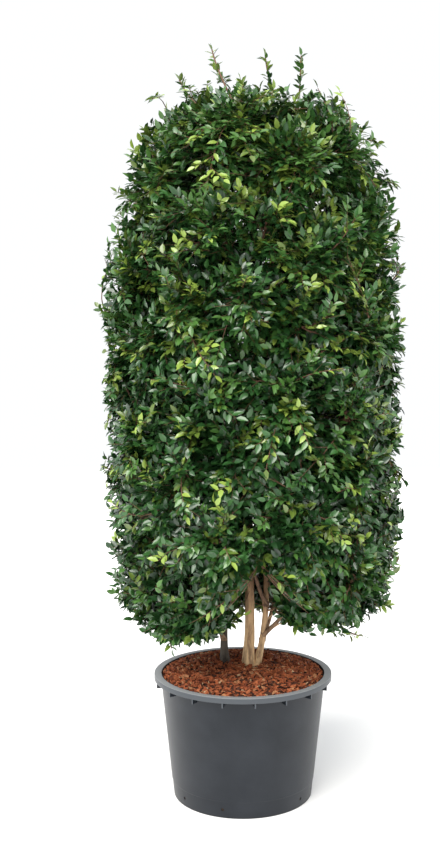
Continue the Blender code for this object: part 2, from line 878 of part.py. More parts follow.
def length_of(curve, steps=8):
    return sum((curve((k + 1) / steps) - curve(k / steps)).length for k in range(steps))


def grow_leaves(curve, kind, rng, fits):
    """Corner points of the leaves along the end of a twig. fits(points) says whether a leaf may stay."""
    found = []
    leafy = kind["leafy"] / length_of(curve)
    turn = rng.uniform(0.0, math.tau)
    for k in range(kind["leaves"]):
        share = 1.0 - leafy * k / (kind["leaves"] - 1)
        size = kind["leaf"] * rng.uniform(*LEAF_SIZES)
        for attempt in range(LEAF_TRIES):
            spread = LEAF_SPREAD * (TIP_SPREAD if k == 0 else rng.uniform(*LEAF_SPREADS))
            angle = turn + k * GOLDEN_ANGLE + attempt * math.tau / LEAF_TRIES
            points = leaf_on(curve, share, angle, spread, size * LEAF_SHRINK**attempt)
            if fits(points, found):
                found.append(points)
                break
    return found


def build_mass(masses, mine, limbs, twigs, rng):
    """A mass of foliage: its core, stem, twigs and leaves fused into one body."""
    mass = masses[mine]
    core = build_core(masses, mine)
    limb_end, tangent, radius = mass["limb_end"]
    start = limb_end + tangent * GAP
    course = bent_curve(start, start + tangent * LIMB_BEND * (mass["heart"] - start).length, mass["heart"])
    pieces = [tapered(course, (radius, STEM_TAPER * radius), 3, BOUGH_SIDES, "stem", "bark")]
    surfaces = [surface_of(core), surface_of(pieces[0])]
    grown = []
    for curve, kind in twigs:
        samples = [curve(0.5), curve(0.75), curve(1.0)]
        if keeps_to_space(masses, mine, limbs, samples, kind["overshoot"]):
            grown.append((curve, kind, len(surfaces)))
            pieces.append(tapered(curve, kind["radii"], kind["rings"], 3, "twig", "bark"))
            surfaces.append(surface_of(pieces[-1]))
    for curve, kind, own in grown:
        others = surfaces[:own] + surfaces[own + 1 :]

        def fits(points, placed, kind=kind, others=others):
            if not keeps_to_space(masses, mine, limbs, points, kind["overshoot"]):
                return False
            return not crosses(points, others + [leaf_surface(leaf) for leaf in placed])

        for points in grow_leaves(curve, kind, rng, fits):
            pieces.append(leaf_body(points))
            surfaces.append(leaf_surface(points))
    combined(core, pieces, "UNION", "MANIFOLD")
    keep_outer_body(core)
    merge_flat_faces(core)


def main():
    clear_scene()
    build_pot()
    build_filling()
    masses = list_masses()
    limbs = build_limbs(masses)
    build_foliage(masses, limbs)


main()
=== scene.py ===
"""The look of a tall columnar camellia in a round nursery pot with bark mulch.

The limbs, twigs and leaves grow by the same rule as the solids: boughs leave the stems, every bough carries
one mass of foliage, and twigs run from the heart of a mass to the skin of the crown. Here the rule goes on
to two finer generations of twigs, which carry single leaves.
"""

import json
import math
from typing import NamedTuple

import bmesh
import bpy
import numpy as np
from mathutils import Matrix, Vector

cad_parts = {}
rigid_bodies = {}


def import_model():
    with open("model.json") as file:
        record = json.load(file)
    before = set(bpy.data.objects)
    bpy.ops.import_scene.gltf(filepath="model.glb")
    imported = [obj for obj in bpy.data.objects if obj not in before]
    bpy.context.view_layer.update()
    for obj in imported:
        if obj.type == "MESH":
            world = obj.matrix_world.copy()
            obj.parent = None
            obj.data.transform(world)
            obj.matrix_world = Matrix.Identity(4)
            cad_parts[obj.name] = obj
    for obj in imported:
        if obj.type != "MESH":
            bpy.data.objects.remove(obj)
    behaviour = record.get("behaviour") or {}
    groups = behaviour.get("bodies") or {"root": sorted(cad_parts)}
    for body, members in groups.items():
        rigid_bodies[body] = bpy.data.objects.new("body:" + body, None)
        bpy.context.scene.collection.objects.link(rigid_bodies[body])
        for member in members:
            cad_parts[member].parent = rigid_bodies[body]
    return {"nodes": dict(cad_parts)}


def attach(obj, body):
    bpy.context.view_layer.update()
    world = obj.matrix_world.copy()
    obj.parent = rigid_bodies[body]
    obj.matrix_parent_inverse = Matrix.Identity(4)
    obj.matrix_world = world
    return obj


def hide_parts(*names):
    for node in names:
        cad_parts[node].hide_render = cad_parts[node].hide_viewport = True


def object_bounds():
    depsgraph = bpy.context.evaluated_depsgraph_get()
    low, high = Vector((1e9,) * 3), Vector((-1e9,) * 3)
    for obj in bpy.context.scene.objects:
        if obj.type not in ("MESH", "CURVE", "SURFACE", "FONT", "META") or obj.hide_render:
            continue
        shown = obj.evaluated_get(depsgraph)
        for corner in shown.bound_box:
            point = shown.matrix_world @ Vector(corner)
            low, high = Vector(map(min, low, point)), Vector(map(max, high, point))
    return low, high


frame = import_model()
cad_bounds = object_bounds()

GOLDEN_ANGLE = math.radians(137.5)
PLASTIC_NUMBER = 1.324717957244746
UP = np.array((0.0, 0.0, 1.0))
AWAY = np.array((0.0, 1.0, 0.0))
NEAR_UPRIGHT = 0.9  # upward part of a direction from which it counts as upright
LEANING_UP = UP + 0.1  # off the vertical, so that an upright twig has a side too

# Camera: the picture's size, focal length and middle in pixels, and where it stands
PICTURE_WIDTH = 440.0
PICTURE_HEIGHT = 855.0
FOCAL_PIXELS = 1071.98
VIEW_CENTRE = (242.88, 430.07)
SENSOR_WIDTH = 36.0
CAMERA_DISTANCE = 4.9075
CAMERA_HEIGHT = 2.0495
CAMERA_PITCH = 0.0721

# Studio
FLOOR_REACH = 14.0
FLOOR_DROP = 0.0005
FLOOR_COLOUR = (0.92, 0.92, 0.92)
SKY_COLOUR = (0.97, 0.985, 1.0)
SKY_STRENGTH = 1.03
SUN_COLOUR = (1.0, 0.97, 0.92)
SUN_STRENGTH = 4.2
SUN_SIZE = math.radians(50.0)
SUN_FROM_ZENITH = math.radians(34.0)
SUN_TURN = math.radians(-24.0)
FAR_AWAY = 100.0

# Pot: a tapered wall with a step near its foot, and a lip that turns out and down over small webs
POT_HEIGHT = 0.570
POT_FOOT_RADIUS = 0.323
POT_WALL_RADIUS = 0.383
POT_THICKNESS = 0.005
POT_SIDES = 144
STEP_HEIGHT = 0.076
STEP_DEPTH = 0.002
LIP_RADIUS = 0.412
LIP_DEPTH = 0.024
LIP_EDGE = 0.003
WEB_COUNT = 18
WEB_FIRST = math.radians(7.5 - 90.0)
WEB_HEIGHT = 0.045
WEB_THICKNESS = 0.006
DRAIN_RADIUS = 0.007
DRAIN_HEIGHT = 0.039
DRAIN_SIDES = 20
DRAIN_ANGLES = (-144.0, -106.0, -37.0, -14.0, 24.0, 62.0, 101.0, 139.0, 178.0)
CORNER_RADIUS = 0.0025
CORNER_STEPS = 3
CORNER_SHARE = 0.45  # of the shorter stretch beside a corner that its rounding may take
SHARP_ANGLE = math.radians(32.0)
POT_COLOUR = (0.008, 0.011, 0.016)
POT_WORN = (0.018, 0.022, 0.029)
# Painted sheen: the skirt and the top of the lip are paler than the wall, standing in for the sky's
# reflection
LIP_TOP_SHEEN = (0.25, 0.262, 0.275)
LIP_SIDE_SHEEN = (0.062, 0.070, 0.080)
LIP_TOP_BAND = (POT_HEIGHT - 0.0018, POT_HEIGHT - 0.0008)  # heights over which the colour changes
LIP_SIDE_BAND = (LIP_RADIUS - LIP_EDGE - 0.0005, LIP_RADIUS - LIP_EDGE + 0.0005)

# Mulch: a bed of fine bark, heaped in the middle, under loose chips
MIX_TOP = 0.520
MULCH_EDGE = 0.558
MULCH_SHOULDER = 0.590
MULCH_HEAP = 0.600
SEAT_RADIUS = 0.145
WALL_GAP = 0.001
BED_SINK = 0.004  # of the bed below the heap's outline
BED_RINGS = 16
BED_SIDES = 72
BED_COLOUR = (0.06, 0.022, 0.012)
# Painted shade: the bed's colour in the hollows of its relief
BED_HOLLOW_SHADE = (0.022, 0.010, 0.007)
BED_PALE = (0.120, 0.040, 0.020)
MIX_COLOUR = (0.03, 0.018, 0.012)
# Painted shade: the potting mix's colour in the hollows of its relief
MIX_HOLLOW_SHADE = (0.012, 0.008, 0.006)
MIX_PALE = (0.055, 0.035, 0.022)
CHIP_SEED = 5
CHIP_COUNT = 3600
CHIP_LENGTH = (0.012, 0.034)
CHIP_WIDTH = (0.35, 0.65)  # of its length
CHIP_THICKNESS = (0.003, 0.006)
CHIP_TILT = 0.45
CHIP_LIFT = (-0.006, 0.006)
CHIP_MARGIN = 0.006  # that the middle of a chip keeps from the wall
CHIP_SHORTEST = 0.012
CHIP_ROOM = 1.6  # a chip is at most so many times as long as its way to the wall
CHIP_RAGGED = (0.6, 1.0)  # how far out the corners of a chip are
CHIP_COLOURS = (
    ((0.360, 0.092, 0.030), 0.34),
    ((0.480, 0.140, 0.052), 0.26),
    ((0.220, 0.052, 0.019), 0.20),
    ((0.090, 0.028, 0.014), 0.10),
    ((0.540, 0.240, 0.110), 0.07),
    ((0.600, 0.400, 0.230), 0.03),
)

# Corners of a chip are numbered by its length, then its width and thickness
CHIP_FACES = np.array(
    (
        ((0, 1, 3), (0, 3, 2), (4, 6, 7), (4, 7, 5)),
        ((0, 4, 5), (0, 5, 1), (2, 3, 7), (2, 7, 6)),
        ((0, 2, 6), (0, 6, 4), (1, 5, 7), (1, 7, 3)),
    )
).reshape(-1, 3)

# The crown's outline, and the masses of foliage in it
CROWN_X = 0.047
CROWN_RADIUS = 0.640
CROWN_WAIST = 1.95
CROWN_TOP = 3.19
SHOULDER_POWER = 4.0
SKIRT_POWER = 10.0
ROUND_POWER = 2.2
FOOT_HEIGHT = 0.68
FOOT_RISE_RIGHT = 0.07
ARCH_RISE = 0.12
NOTCH_ANGLE = math.radians(-86.0)
NOTCH_WIDTH = math.radians(20.0)
NOTCH_RISE = 0.34
SHAFT_RADIUS = 0.16
SHAFT_TOP = 2.58
SHAFT_CLOSE = 0.25
# How far the outermost leaves stand from the crown's axis: height, to the left, to the right
OUTLINE = (
    (0.66, 0.390, 0.233),
    (0.72, 0.470, 0.260),
    (0.81, 0.530, 0.594),
    (1.00, 0.590, 0.640),
    (1.19, 0.625, 0.660),
    (1.37, 0.642, 0.682),
    (1.56, 0.673, 0.676),
    (1.74, 0.645, 0.657),
    (1.92, 0.647, 0.682),
    (2.11, 0.677, 0.661),
    (2.29, 0.680, 0.635),
    (2.47, 0.650, 0.645),
    (2.65, 0.565, 0.617),
    (2.83, 0.515, 0.584),
    (3.00, 0.490, 0.510),
    (3.18, 0.415, 0.420),
    (3.30, 0.350, 0.350),
)
OUTLINE_LEAF = 0.040  # that a leaf stands out from the end of its twig
OUTLINE_STEPS = 400
TIERS = (
    ("low", 1.08, 0.40, 5, -90.0),
    ("middle", 1.68, 0.40, 5, -54.0),
    ("upper", 2.26, 0.40, 5, -90.0),
    ("top", 2.84, 0.25, 3, 40.0),
)
COMPASS = ("right", "back_right", "back", "back_left", "left", "front_left", "front", "front_right")
FRONT_LIFT = 0.16
STAGGER = 0.08

# Limbs: the points that each stem is drawn through, and the radii of stems and boughs
STEM_FOOT = MULCH_HEAP - 0.008
STEM_TOP = 2.60
MAIN_STEM = (
    (0.028, 0.015, STEM_FOOT),
    (0.032, 0.010, 0.95),
    (0.024, -0.010, 1.60),
    (0.030, -0.040, 2.20),
    (0.050, -0.090, STEM_TOP),
)
RIGHT_STEM = (
    (0.066, 0.008, STEM_FOOT),
    (0.106, 0.002, 0.87),
    (0.110, 0.000, 1.50),
    (0.115, 0.030, 2.10),
    (0.140, 0.080, STEM_TOP),
)
LEFT_STEM = (
    (-0.079, 0.050, STEM_FOOT),
    (-0.088, 0.062, 0.75),
    (-0.060, 0.060, 1.50),
    (-0.045, 0.050, 2.10),
    (-0.050, 0.040, STEM_TOP),
)
STEMS = (MAIN_STEM, RIGHT_STEM, LEFT_STEM)
STEM_RADII = ((0.026, 0.010), (0.015, 0.009), (0.019, 0.009))  # at the foot and the tip
STEM_SEEDS = (1.0, 2.0, 3.0)
STEM_MASSES = ("top_front", "top_back_right", "top_left")
STEM_END = (0.995, 1.0)  # shares of a stem that give its last direction
STEM_POWER = 0.8
FLARE = 0.45
FLARE_HEIGHT = 0.055
BUTTRESSES = 5
BUTTRESS_DEPTH = 0.3
STEM_RINGS = 260
STEM_SIDES = 20
RING_POWER = 1.3  # above 1, so that rings lie closer together near the foot
STEM_RELIEF = 0.035
BOUGH_RELIEF = 0.05
BOUGH_GRAIN = 0.3  # of the number of waves that a stem's bark has along it
BOUGH_RADII = (0.0105, 0.0075)
BOUGH_RINGS = 36
BOUGH_SIDES = 12
BOUGH_RISE = 0.75
BOUGH_DROP = 0.05
ENTRY_RADIUS = 0.185
ENTRY_DROP = 0.16
LIMB_BEND = 0.4
COLLAR_SWELL = 0.7
COLLAR_SPREAD = 0.03
ROOT_STEPS = 400
STEM_TAPER = 0.7
# Thin pale branches low on the right stem
SIDE_BRANCHES = (
    ((0.078, 0.004, 0.715), (0.105, -0.015, 0.765), (0.236, -0.030, 0.838)),
    ((0.103, 0.000, 0.850), (0.150, -0.020, 0.872), (0.227, -0.035, 0.876)),
    ((0.094, 0.002, 0.790), (0.150, 0.030, 0.850), (0.260, 0.060, 0.930)),
)
SIDE_RADII = (0.0050, 0.0026)
SIDE_RINGS = 20
SIDE_SIDES = 8
# Bark colours: near the mulch, further up, and in the furrows
BARKS = {
    "trunk_bark": ((0.86, 0.60, 0.33), (0.34, 0.17, 0.095), (0.30, 0.18, 0.10)),
    "left_bark": ((0.105, 0.088, 0.070), (0.125, 0.080, 0.055), (0.040, 0.032, 0.026)),
    "bough_bark": ((0.40, 0.26, 0.15), (0.20, 0.105, 0.065), (0.085, 0.050, 0.034)),
}
BARK_TURN = (0.62, 1.1)  # heights between which the first colour turns to the second
TWIG_COLOUR = (0.155, 0.078, 0.045)

# Twigs, from the coarsest to the leafy ones
FOLIAGE_SEED = 11
SKIN_TWIGS = 82
TWIG_RADII = (0.0058, 0.0030)
TWIG_INSET = 0.045
TWIG_BEND = 0.55
TWIG_SAG = 0.10
TWIG_RINGS = 14
TWIG_SIDES = 6
FORKS = (0.22, 0.95)  # shares of a coarse twig between which finer ones leave it
FORK_PLACES = 14
FORK_DEPTH = 0.75  # at most this share of the way from the heart to the finer twig's tip
FORK_WEIGHT = 2.0  # how much a fork further out than that counts as further away
FINE_TWIGS = 1560
FINE_RADII = (0.0030, 0.0015)
FINE_RINGS = 6
FINE_SIDES = 4
FINE_BEND = 0.45
FINE_TURN = 0.4
FINE_INSET = (0.010, 0.050)
DEEP_EACH = 4  # one in so many fine twigs ends deep in the foliage
DEEP_INSET = (0.11, 0.22)
CLUMPS = 230
CLUMP_SKIP = 7 * SKIN_TWIGS
CLUMP_POWER = 1.4
CLUMP_DEPTH = 0.095  # how far the foliage draws back between two clumps
CLUMP_WIDTH = 0.085
SPRAYS = 9  # leafy twigs on each fine twig
SPRAY_LENGTH = (0.055, 0.110)
SPRAY_RADII = (0.0014, 0.0007)
SPRAY_RINGS = 2
SPRAY_SIDES = 3
SPRAY_FROM = 0.30  # share of the fine twig at which the first leafy twig leaves it
SPRAY_SPREAD = 0.85
SPRAY_END_SPREAD = 0.15
SPRAY_ASIDE = 1.2
SPRAY_OUT = 0.45
SPRAY_RISE = 0.20
SPRAY_BEND = 0.5
SPRAY_SAG = 0.25
SPRAY_PART = 0.4  # place along a leafy twig that has to be clear of the stems
OVERSHOOT = 0.055
TWIG_OVERSHOOT = OVERSHOOT - 0.01
STRAYS = 170  # fine twigs that stand out of the outline
STRAY_SKIP = 31 * SKIN_TWIGS
STRAY_REACH = (0.020, 0.075)
STRAY_RISE = (0.02, 0.09)
STRAY_LEAVES = 14
STRAY_TOP = 3.36
BOX_ROOM = 0.012
OUTWARD_RISE = 0.35  # weight of the height in the way out of the crown

# Leaves
LEAVES_ON_SPRAY = 8
LEAF_LENGTHS = (0.037, 0.053)
LEAF_WIDTH = 0.50
LEAF_FROM = 0.14  # share of the leafy twig at which its first leaf is
LEAF_SPREAD = (0.75, 1.15)
LEAF_END_SPREAD = 0.12
LEAF_RAGGED = 0.12
FACE_OUT = 0.55
FACE_UP = 0.75
FACE_RAGGED = 0.33
POT_CLEARANCE = 0.04
LEAF_FOLD = 0.07
LEAF_DROOP = 0.07
# Points of a leaf as shares: along it, across its half width, and up from its foot
LEAF_SHAPE = (
    (0.0, 0.0, 0.0),
    (0.30, -0.92, LEAF_FOLD),
    (0.66, -0.78, LEAF_FOLD - 0.2 * LEAF_DROOP),
    (1.0, 0.0, -LEAF_DROOP),
    (0.66, 0.78, LEAF_FOLD - 0.2 * LEAF_DROOP),
    (0.30, 0.92, LEAF_FOLD),
    (0.48, 0.0, 0.0),
)
LEAF_FACES = np.array(((0, 6, 1), (1, 6, 2), (2, 6, 3), (3, 6, 4), (4, 6, 5), (5, 6, 0)))
LEAF_ROUGHNESS = 0.30
LEAF_COAT = 0.45
COAT_ROUGHNESS = 0.25
LEAF_COLOURS = {
    "deep": (0.012, 0.044, 0.012),
    "dark": (0.018, 0.068, 0.015),
    "green": (0.034, 0.108, 0.025),
    "fresh": (0.068, 0.165, 0.034),
    "olive": (0.100, 0.158, 0.024),
    "young": (0.250, 0.360, 0.060),
}
# Shares of these colours inside the crown, at its top, and on its long young shoots and the twigs that
# stand out of the outline
LEAF_SHARES = (0.27, 0.31, 0.24, 0.11, 0.05, 0.02)
TOP_SHARES = (0.05, 0.14, 0.29, 0.29, 0.15, 0.08)
TIP_SHARES = (0.0, 0.05, 0.15, 0.25, 0.20, 0.35)
TOP_LIGHT = (1.9, 2.7)  # heights between which the greens turn lighter, from young growth and painted light from above
OUTER_GLOW_AND_YOUNG = 0.4  # share of the outermost sprays that are as light as those of the top: young leaves, and a painted glow of light through the leaves at the outline

# Long young shoots, by their tips
SHOOT_TIPS = (
    (-0.150, 0.00, 3.450),
    (-0.300, -0.11, 3.285),
    (-0.017, -0.10, 3.285),
    (0.094, 0.05, 3.436),
    (0.267, 0.08, 3.448),
    (0.461, 0.00, 3.189),
    (0.581, 0.05, 3.115),
    (-0.347, 0.02, 3.182),
    (0.120, 0.40, 3.240),
    (-0.200, 0.32, 3.210),
    (-0.462, 0.05, 3.048),
    (0.668, 0.05, 2.857),
    (-0.569, 0.05, 2.809),
    (-0.685, 0.00, 2.290),
    (0.741, 0.00, 2.480),
    (0.744, 0.05, 2.129),
    (0.753, 0.00, 1.137),
    (0.595, -0.10, 0.755),
    (-0.306, -0.20, 0.693),
)
SHOOT_LENGTH = 0.24
SHOOT_LEAF = 0.050
SHOOT_LEAVES = 19
SHOOT_RISE = 0.8
YOUNG_LENGTHS = (0.034, SHOOT_LEAF)


def unit(vectors):
    return vectors / np.maximum(np.linalg.norm(vectors, axis=-1, keepdims=True), 1e-9)


def shader_of(made):
    return made.node_tree.nodes["Principled BSDF"]


def plain(name, colour, roughness, coat=0.0):
    """A material of one colour."""
    made = bpy.data.materials.new(name)
    made.use_nodes = True
    inputs = shader_of(made).inputs
    inputs["Base Color"].default_value = (*colour, 1.0)
    inputs["Roughness"].default_value = roughness
    inputs["Coat Weight"].default_value = coat
    inputs["Coat Roughness"].default_value = COAT_ROUGHNESS
    return made


def add(made, kind, **values):
    """A node in the material, with inputs set by name."""
    node = made.node_tree.nodes.new(kind)
    for name, value in values.items():
        node.inputs[name].default_value = value
    return node


def connect(made, output, socket):
    made.node_tree.links.new(output, socket)


def scaled_place(made, scale=(1.0, 1.0, 1.0)):
    """The object's own coordinates times the scale."""
    mapping = add(made, "ShaderNodeMapping", Scale=scale)
    connect(made, add(made, "ShaderNodeTexCoord").outputs["Object"], mapping.inputs["Vector"])
    return mapping.outputs["Vector"]


def noise_of(made, scale, stretch=(1.0, 1.0, 1.0), detail=6.0):
    """Noise over the object's own coordinates."""
    noise = add(made, "ShaderNodeTexNoise", Scale=scale, Detail=detail, Roughness=0.6)
    connect(made, scaled_place(made, stretch), noise.inputs["Vector"])
    return noise.outputs["Fac"]


def ramp_of(made, fac, stops):
    """A colour ramp through (place, colour)."""
    ramp = add(made, "ShaderNodeValToRGB")
    elements = ramp.color_ramp.elements
    for index, (place, colour) in enumerate(stops):
        element = elements[index] if index < 2 else elements.new(place)
        element.position = place
        element.color = (*colour, 1.0)
    connect(made, fac, ramp.inputs["Fac"])
    return ramp.outputs["Color"]


def mixed(made, fac, first, second):
    """first where fac is 0 and second where it is 1."""
    node = add(made, "ShaderNodeMix")
    node.data_type = "RGBA"
    connect(made, fac, node.inputs["Factor"])
    for value, socket in zip((first, second), node.inputs[6:8]):
        if isinstance(value, tuple):
            socket.default_value = (*value, 1.0)
        else:
            connect(made, value, socket)
    return node.outputs[2]


def bump(made, fac, distance):
    """Relief of that depth in metres."""
    node = add(made, "ShaderNodeBump", Distance=distance, Strength=1.0)
    connect(made, fac, node.inputs["Height"])
    connect(made, node.outputs["Normal"], shader_of(made).inputs["Normal"])


def base_colour(made, colour):
    connect(made, colour, shader_of(made).inputs["Base Color"])


def share_between(made, value, low, high):
    """0 where the value is below low and 1 where it is above high."""
    ranged = add(made, "ShaderNodeMapRange", **{"From Min": low, "From Max": high})
    connect(made, value, ranged.inputs["Value"])
    return ranged.outputs["Result"]


def height_of(made):
    split = add(made, "ShaderNodeSeparateXYZ")
    connect(made, scaled_place(made), split.inputs["Vector"])
    return split.outputs["Z"]


def radius_of(made):
    length = add(made, "ShaderNodeVectorMath")
    length.operation = "LENGTH"
    connect(made, scaled_place(made, (1.0, 1.0, 0.0)), length.inputs[0])
    return length.outputs["Value"]


def pot_material():
    """Dark plastic with faint cloudy wear, and a painted sheen that makes the skirt paler and the top of
    the lip pale.
    """
    made = plain("pot_plastic", POT_COLOUR, roughness=0.40)
    shader_of(made).inputs["Specular IOR Level"].default_value = 0.30
    wall = ramp_of(made, noise_of(made, scale=5.0), ((0.35, POT_COLOUR), (0.75, POT_WORN)))
    # Painted sheen on the skirt and on the top of the lip
    outside = share_between(made, radius_of(made), *LIP_SIDE_BAND)
    skirted = mixed(made, outside, wall, LIP_SIDE_SHEEN)
    on_top = share_between(made, height_of(made), *LIP_TOP_BAND)
    base_colour(made, mixed(made, on_top, skirted, LIP_TOP_SHEEN))
    bump(made, noise_of(made, scale=260.0), distance=0.0003)
    return made


def bark_material(name):
    """Bark with dark furrows, whose colour turns with the height."""
    low, high, dark = BARKS[name]
    made = plain(name, high, roughness=0.85)
    along = noise_of(made, scale=55.0, stretch=(1.0, 1.0, 0.22), detail=8.0)
    at_foot = ramp_of(made, along, ((0.36, dark), (0.55, low)))
    further_up = ramp_of(made, along, ((0.36, dark), (0.58, high)))
    turn = share_between(made, height_of(made), *BARK_TURN)
    base_colour(made, mixed(made, turn, at_foot, further_up))
    bump(made, noise_of(made, scale=90.0, stretch=(1.0, 1.0, 0.3), detail=8.0), distance=0.002)
    return made


def chip_material(index, colour):
    """A chip's colour with darker and paler grain."""
    made = plain(f"chip_{index}", colour, roughness=0.85)
    dark = tuple(0.45 * part for part in colour)
    pale = tuple(min(1.0, 1.35 * part) for part in colour)
    grain = noise_of(made, scale=140.0)
    base_colour(made, ramp_of(made, grain, ((0.30, dark), (0.50, colour), (0.75, pale))))
    bump(made, noise_of(made, scale=420.0), distance=0.0012)
    return made


def leaf_materials():
    greens = LEAF_COLOURS.items()
    return [plain("leaf_" + name, colour, LEAF_ROUGHNESS, LEAF_COAT) for name, colour in greens]


def crumbly_material(name, colour, dark, pale, scale, distance):
    """Loose ground that goes from painted shade in the hollows to pale crumbs, its colour following the
    same noise as its relief.
    """
    made = plain(name, colour, roughness=0.95)
    crumbs = noise_of(made, scale=scale)
    # The same noise gives the relief, so the hollows get painted shade
    base_colour(made, ramp_of(made, crumbs, ((0.35, dark), (0.70, pale))))
    bump(made, crumbs, distance=distance)
    return made


def linked(name, data):
    """A new object of the scene that shows the data."""
    made = bpy.data.objects.new(name, data)
    bpy.context.scene.collection.objects.link(made)
    return made


def finish_piece(made, nodes):
    """The piece rides on the one body and stands for the nodes."""
    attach(made, "root")
    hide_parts(*nodes)


def mesh_piece(name, points, triangles, materials, picks, slot, nodes, smooth=True):
    """A piece from arrays of points and triangles, with a material index for each triangle."""
    mesh = bpy.data.meshes.new(name)
    count = len(triangles)
    mesh.vertices.add(len(points))
    mesh.vertices.foreach_set("co", np.ascontiguousarray(points, dtype=np.float32).ravel())
    mesh.loops.add(3 * count)
    mesh.loops.foreach_set("vertex_index", np.ascontiguousarray(triangles, dtype=np.int32).ravel())
    mesh.polygons.add(count)
    mesh.polygons.foreach_set("loop_start", np.arange(0, 3 * count, 3, dtype=np.int32))
    for material in materials:
        mesh.materials.append(material)
    mesh.polygons.foreach_set("material_index", np.ascontiguousarray(picks, dtype=np.int32))
    mesh.polygons.foreach_set("use_smooth", np.full(count, smooth))
    mesh.update(calc_edges=True)
    mesh.validate()
    finish_piece(linked(name, mesh), nodes)


def bark_piece(name, parts, bark, nodes):
    """A piece with one kind of bark from several (points, triangles)."""
    points, triangles = joined(parts)
    mesh_piece(name, points, triangles, [bark], np.zeros(len(triangles)), "bark", nodes)


def repeated(faces, count, corners):
    """The faces of one small body, for count bodies of so many corners each."""
    return (faces[None] + corners * np.arange(count)[:, None, None]).reshape(-1, 3)


def joined(parts):
    """Points and triangles of several (points, triangles) as one."""
    points, triangles, start = [], [], 0
    for some_points, some_triangles in parts:
        points.append(some_points)
        triangles.append(some_triangles + start)
        start += len(some_points)
    return np.concatenate(points), np.concatenate(triangles)


def tubes(paths, radii, sides):
    """Tubes along paths (count, rings, 3), with radii that broadcast to (count, rings, sides)."""
    count, rings, _ = paths.shape
    tangent = unit(np.gradient(paths, axis=1))
    chord = unit(paths[:, -1] - paths[:, 0])
    reference = np.where(np.abs(chord[:, 2:3]) < NEAR_UPRIGHT, UP, AWAY)
    across = unit(np.cross(tangent, reference[:, None, :]))
    up = np.cross(tangent, across)
    angles = math.tau * np.arange(sides) / sides
    sizes = np.broadcast_to(radii, (count, rings, sides))[..., None]
    circle = np.cos(angles)[:, None] * across[:, :, None, :] + np.sin(angles)[:, None] * up[:, :, None, :]
    points = paths[:, :, None, :] + sizes * circle
    index = np.arange(count * rings * sides).reshape(count, rings, sides)
    after = np.roll(index, -1, axis=2)
    low, low_after = index[:, :-1], after[:, :-1]
    high, high_after = index[:, 1:], after[:, 1:]
    first = np.stack((low, low_after, high_after), -1).reshape(-1, 3)
    second = np.stack((low, high_after, high), -1).reshape(-1, 3)
    return points.reshape(-1, 3), np.concatenate((first, second))


def bezier(start, bend, tip, shares):
    """Points at the shares of curves with these three controls, each (count, 3)."""
    t = np.asarray(shares)[None, :, None]
    return start[:, None, :] * (1 - t) ** 2 + bend[:, None, :] * 2 * t * (1 - t) + tip[:, None, :] * t**2


def spline(course, shares):
    """Points of a smooth curve through the course (Catmull-Rom)."""
    course = np.array(course)
    spans = len(course) - 1
    found = []
    for share in shares:
        place = min(share * spans, spans - 1e-9)
        i = int(place)
        t = place - i
        before, here = course[max(i - 1, 0)], course[i]
        after, beyond = course[i + 1], course[min(i + 2, spans)]
        square = 2 * before - 5 * here + 4 * after - beyond
        cube = 3 * here - before - 3 * after + beyond
        found.append(0.5 * (2 * here + (after - before) * t + square * t**2 + cube * t**3))
    return np.array(found)


def ridges(shares, sides, depth, seed):
    """The relief of bark as a factor (rings, sides): long uneven ridges with cracks across."""
    angle = math.tau * np.arange(sides)[None, :] / sides
    along = np.asarray(shares)[:, None]
    wandering = np.sin(5 * angle + 2.5 * np.sin(23 * along + seed) + seed)
    slanted = 0.6 * np.sin(9 * angle - 31 * along + 1.7 * seed)
    cracks = 0.5 * np.sin(3 * angle + 67 * along + 0.6 * seed) * np.sin(140 * along + seed)
    return 1.0 + depth * (wandering + slanted + cracks)


def wall_radius(height):
    """Outer radius of the pot's wall above the step."""
    under_lip = POT_HEIGHT - LIP_EDGE
    return POT_FOOT_RADIUS + (POT_WALL_RADIUS - POT_FOOT_RADIUS) * height / under_lip


def inner_radius(height):
    return wall_radius(height) - POT_THICKNESS


def rounded(outline):
    """The outline with all its corners rounded but the first and the last."""
    found = [outline[0]]
    for before, corner, after in zip(outline, outline[1:], outline[2:]):
        corner, before, after = Vector(corner), Vector(before), Vector(after)
        shorter = min((before - corner).length, (after - corner).length)
        reach = min(CORNER_RADIUS, CORNER_SHARE * shorter)
        start = corner + (before - corner).normalized() * reach
        end = corner + (after - corner).normalized() * reach
        for k in range(CORNER_STEPS + 1):
            t = k / CORNER_STEPS
            found.append(tuple(start * (1 - t) ** 2 + corner * 2 * t * (1 - t) + end * t**2))
    return found + [outline[-1]]


def mesh_of(name, bm):
    mesh = bpy.data.meshes.new(name)
    bm.to_mesh(mesh)
    bm.free()
    return mesh


def spun(profile, sides, name):
    """An object of the outline (radius, height) turned about Z."""
    bm = bmesh.new()
    points = [bm.verts.new((radius, 0.0, height)) for radius, height in profile]
    edges = [bm.edges.new(pair) for pair in zip(points, points[1:])]
    around = {"cent": (0.0, 0.0, 0.0), "axis": UP, "angle": math.tau}
    bmesh.ops.spin(bm, geom=points + edges, steps=sides, use_merge=True, **around)
    bmesh.ops.remove_doubles(bm, verts=bm.verts, dist=1e-6)
    bmesh.ops.recalc_face_normals(bm, faces=bm.faces)
    return linked(name, mesh_of(name, bm))


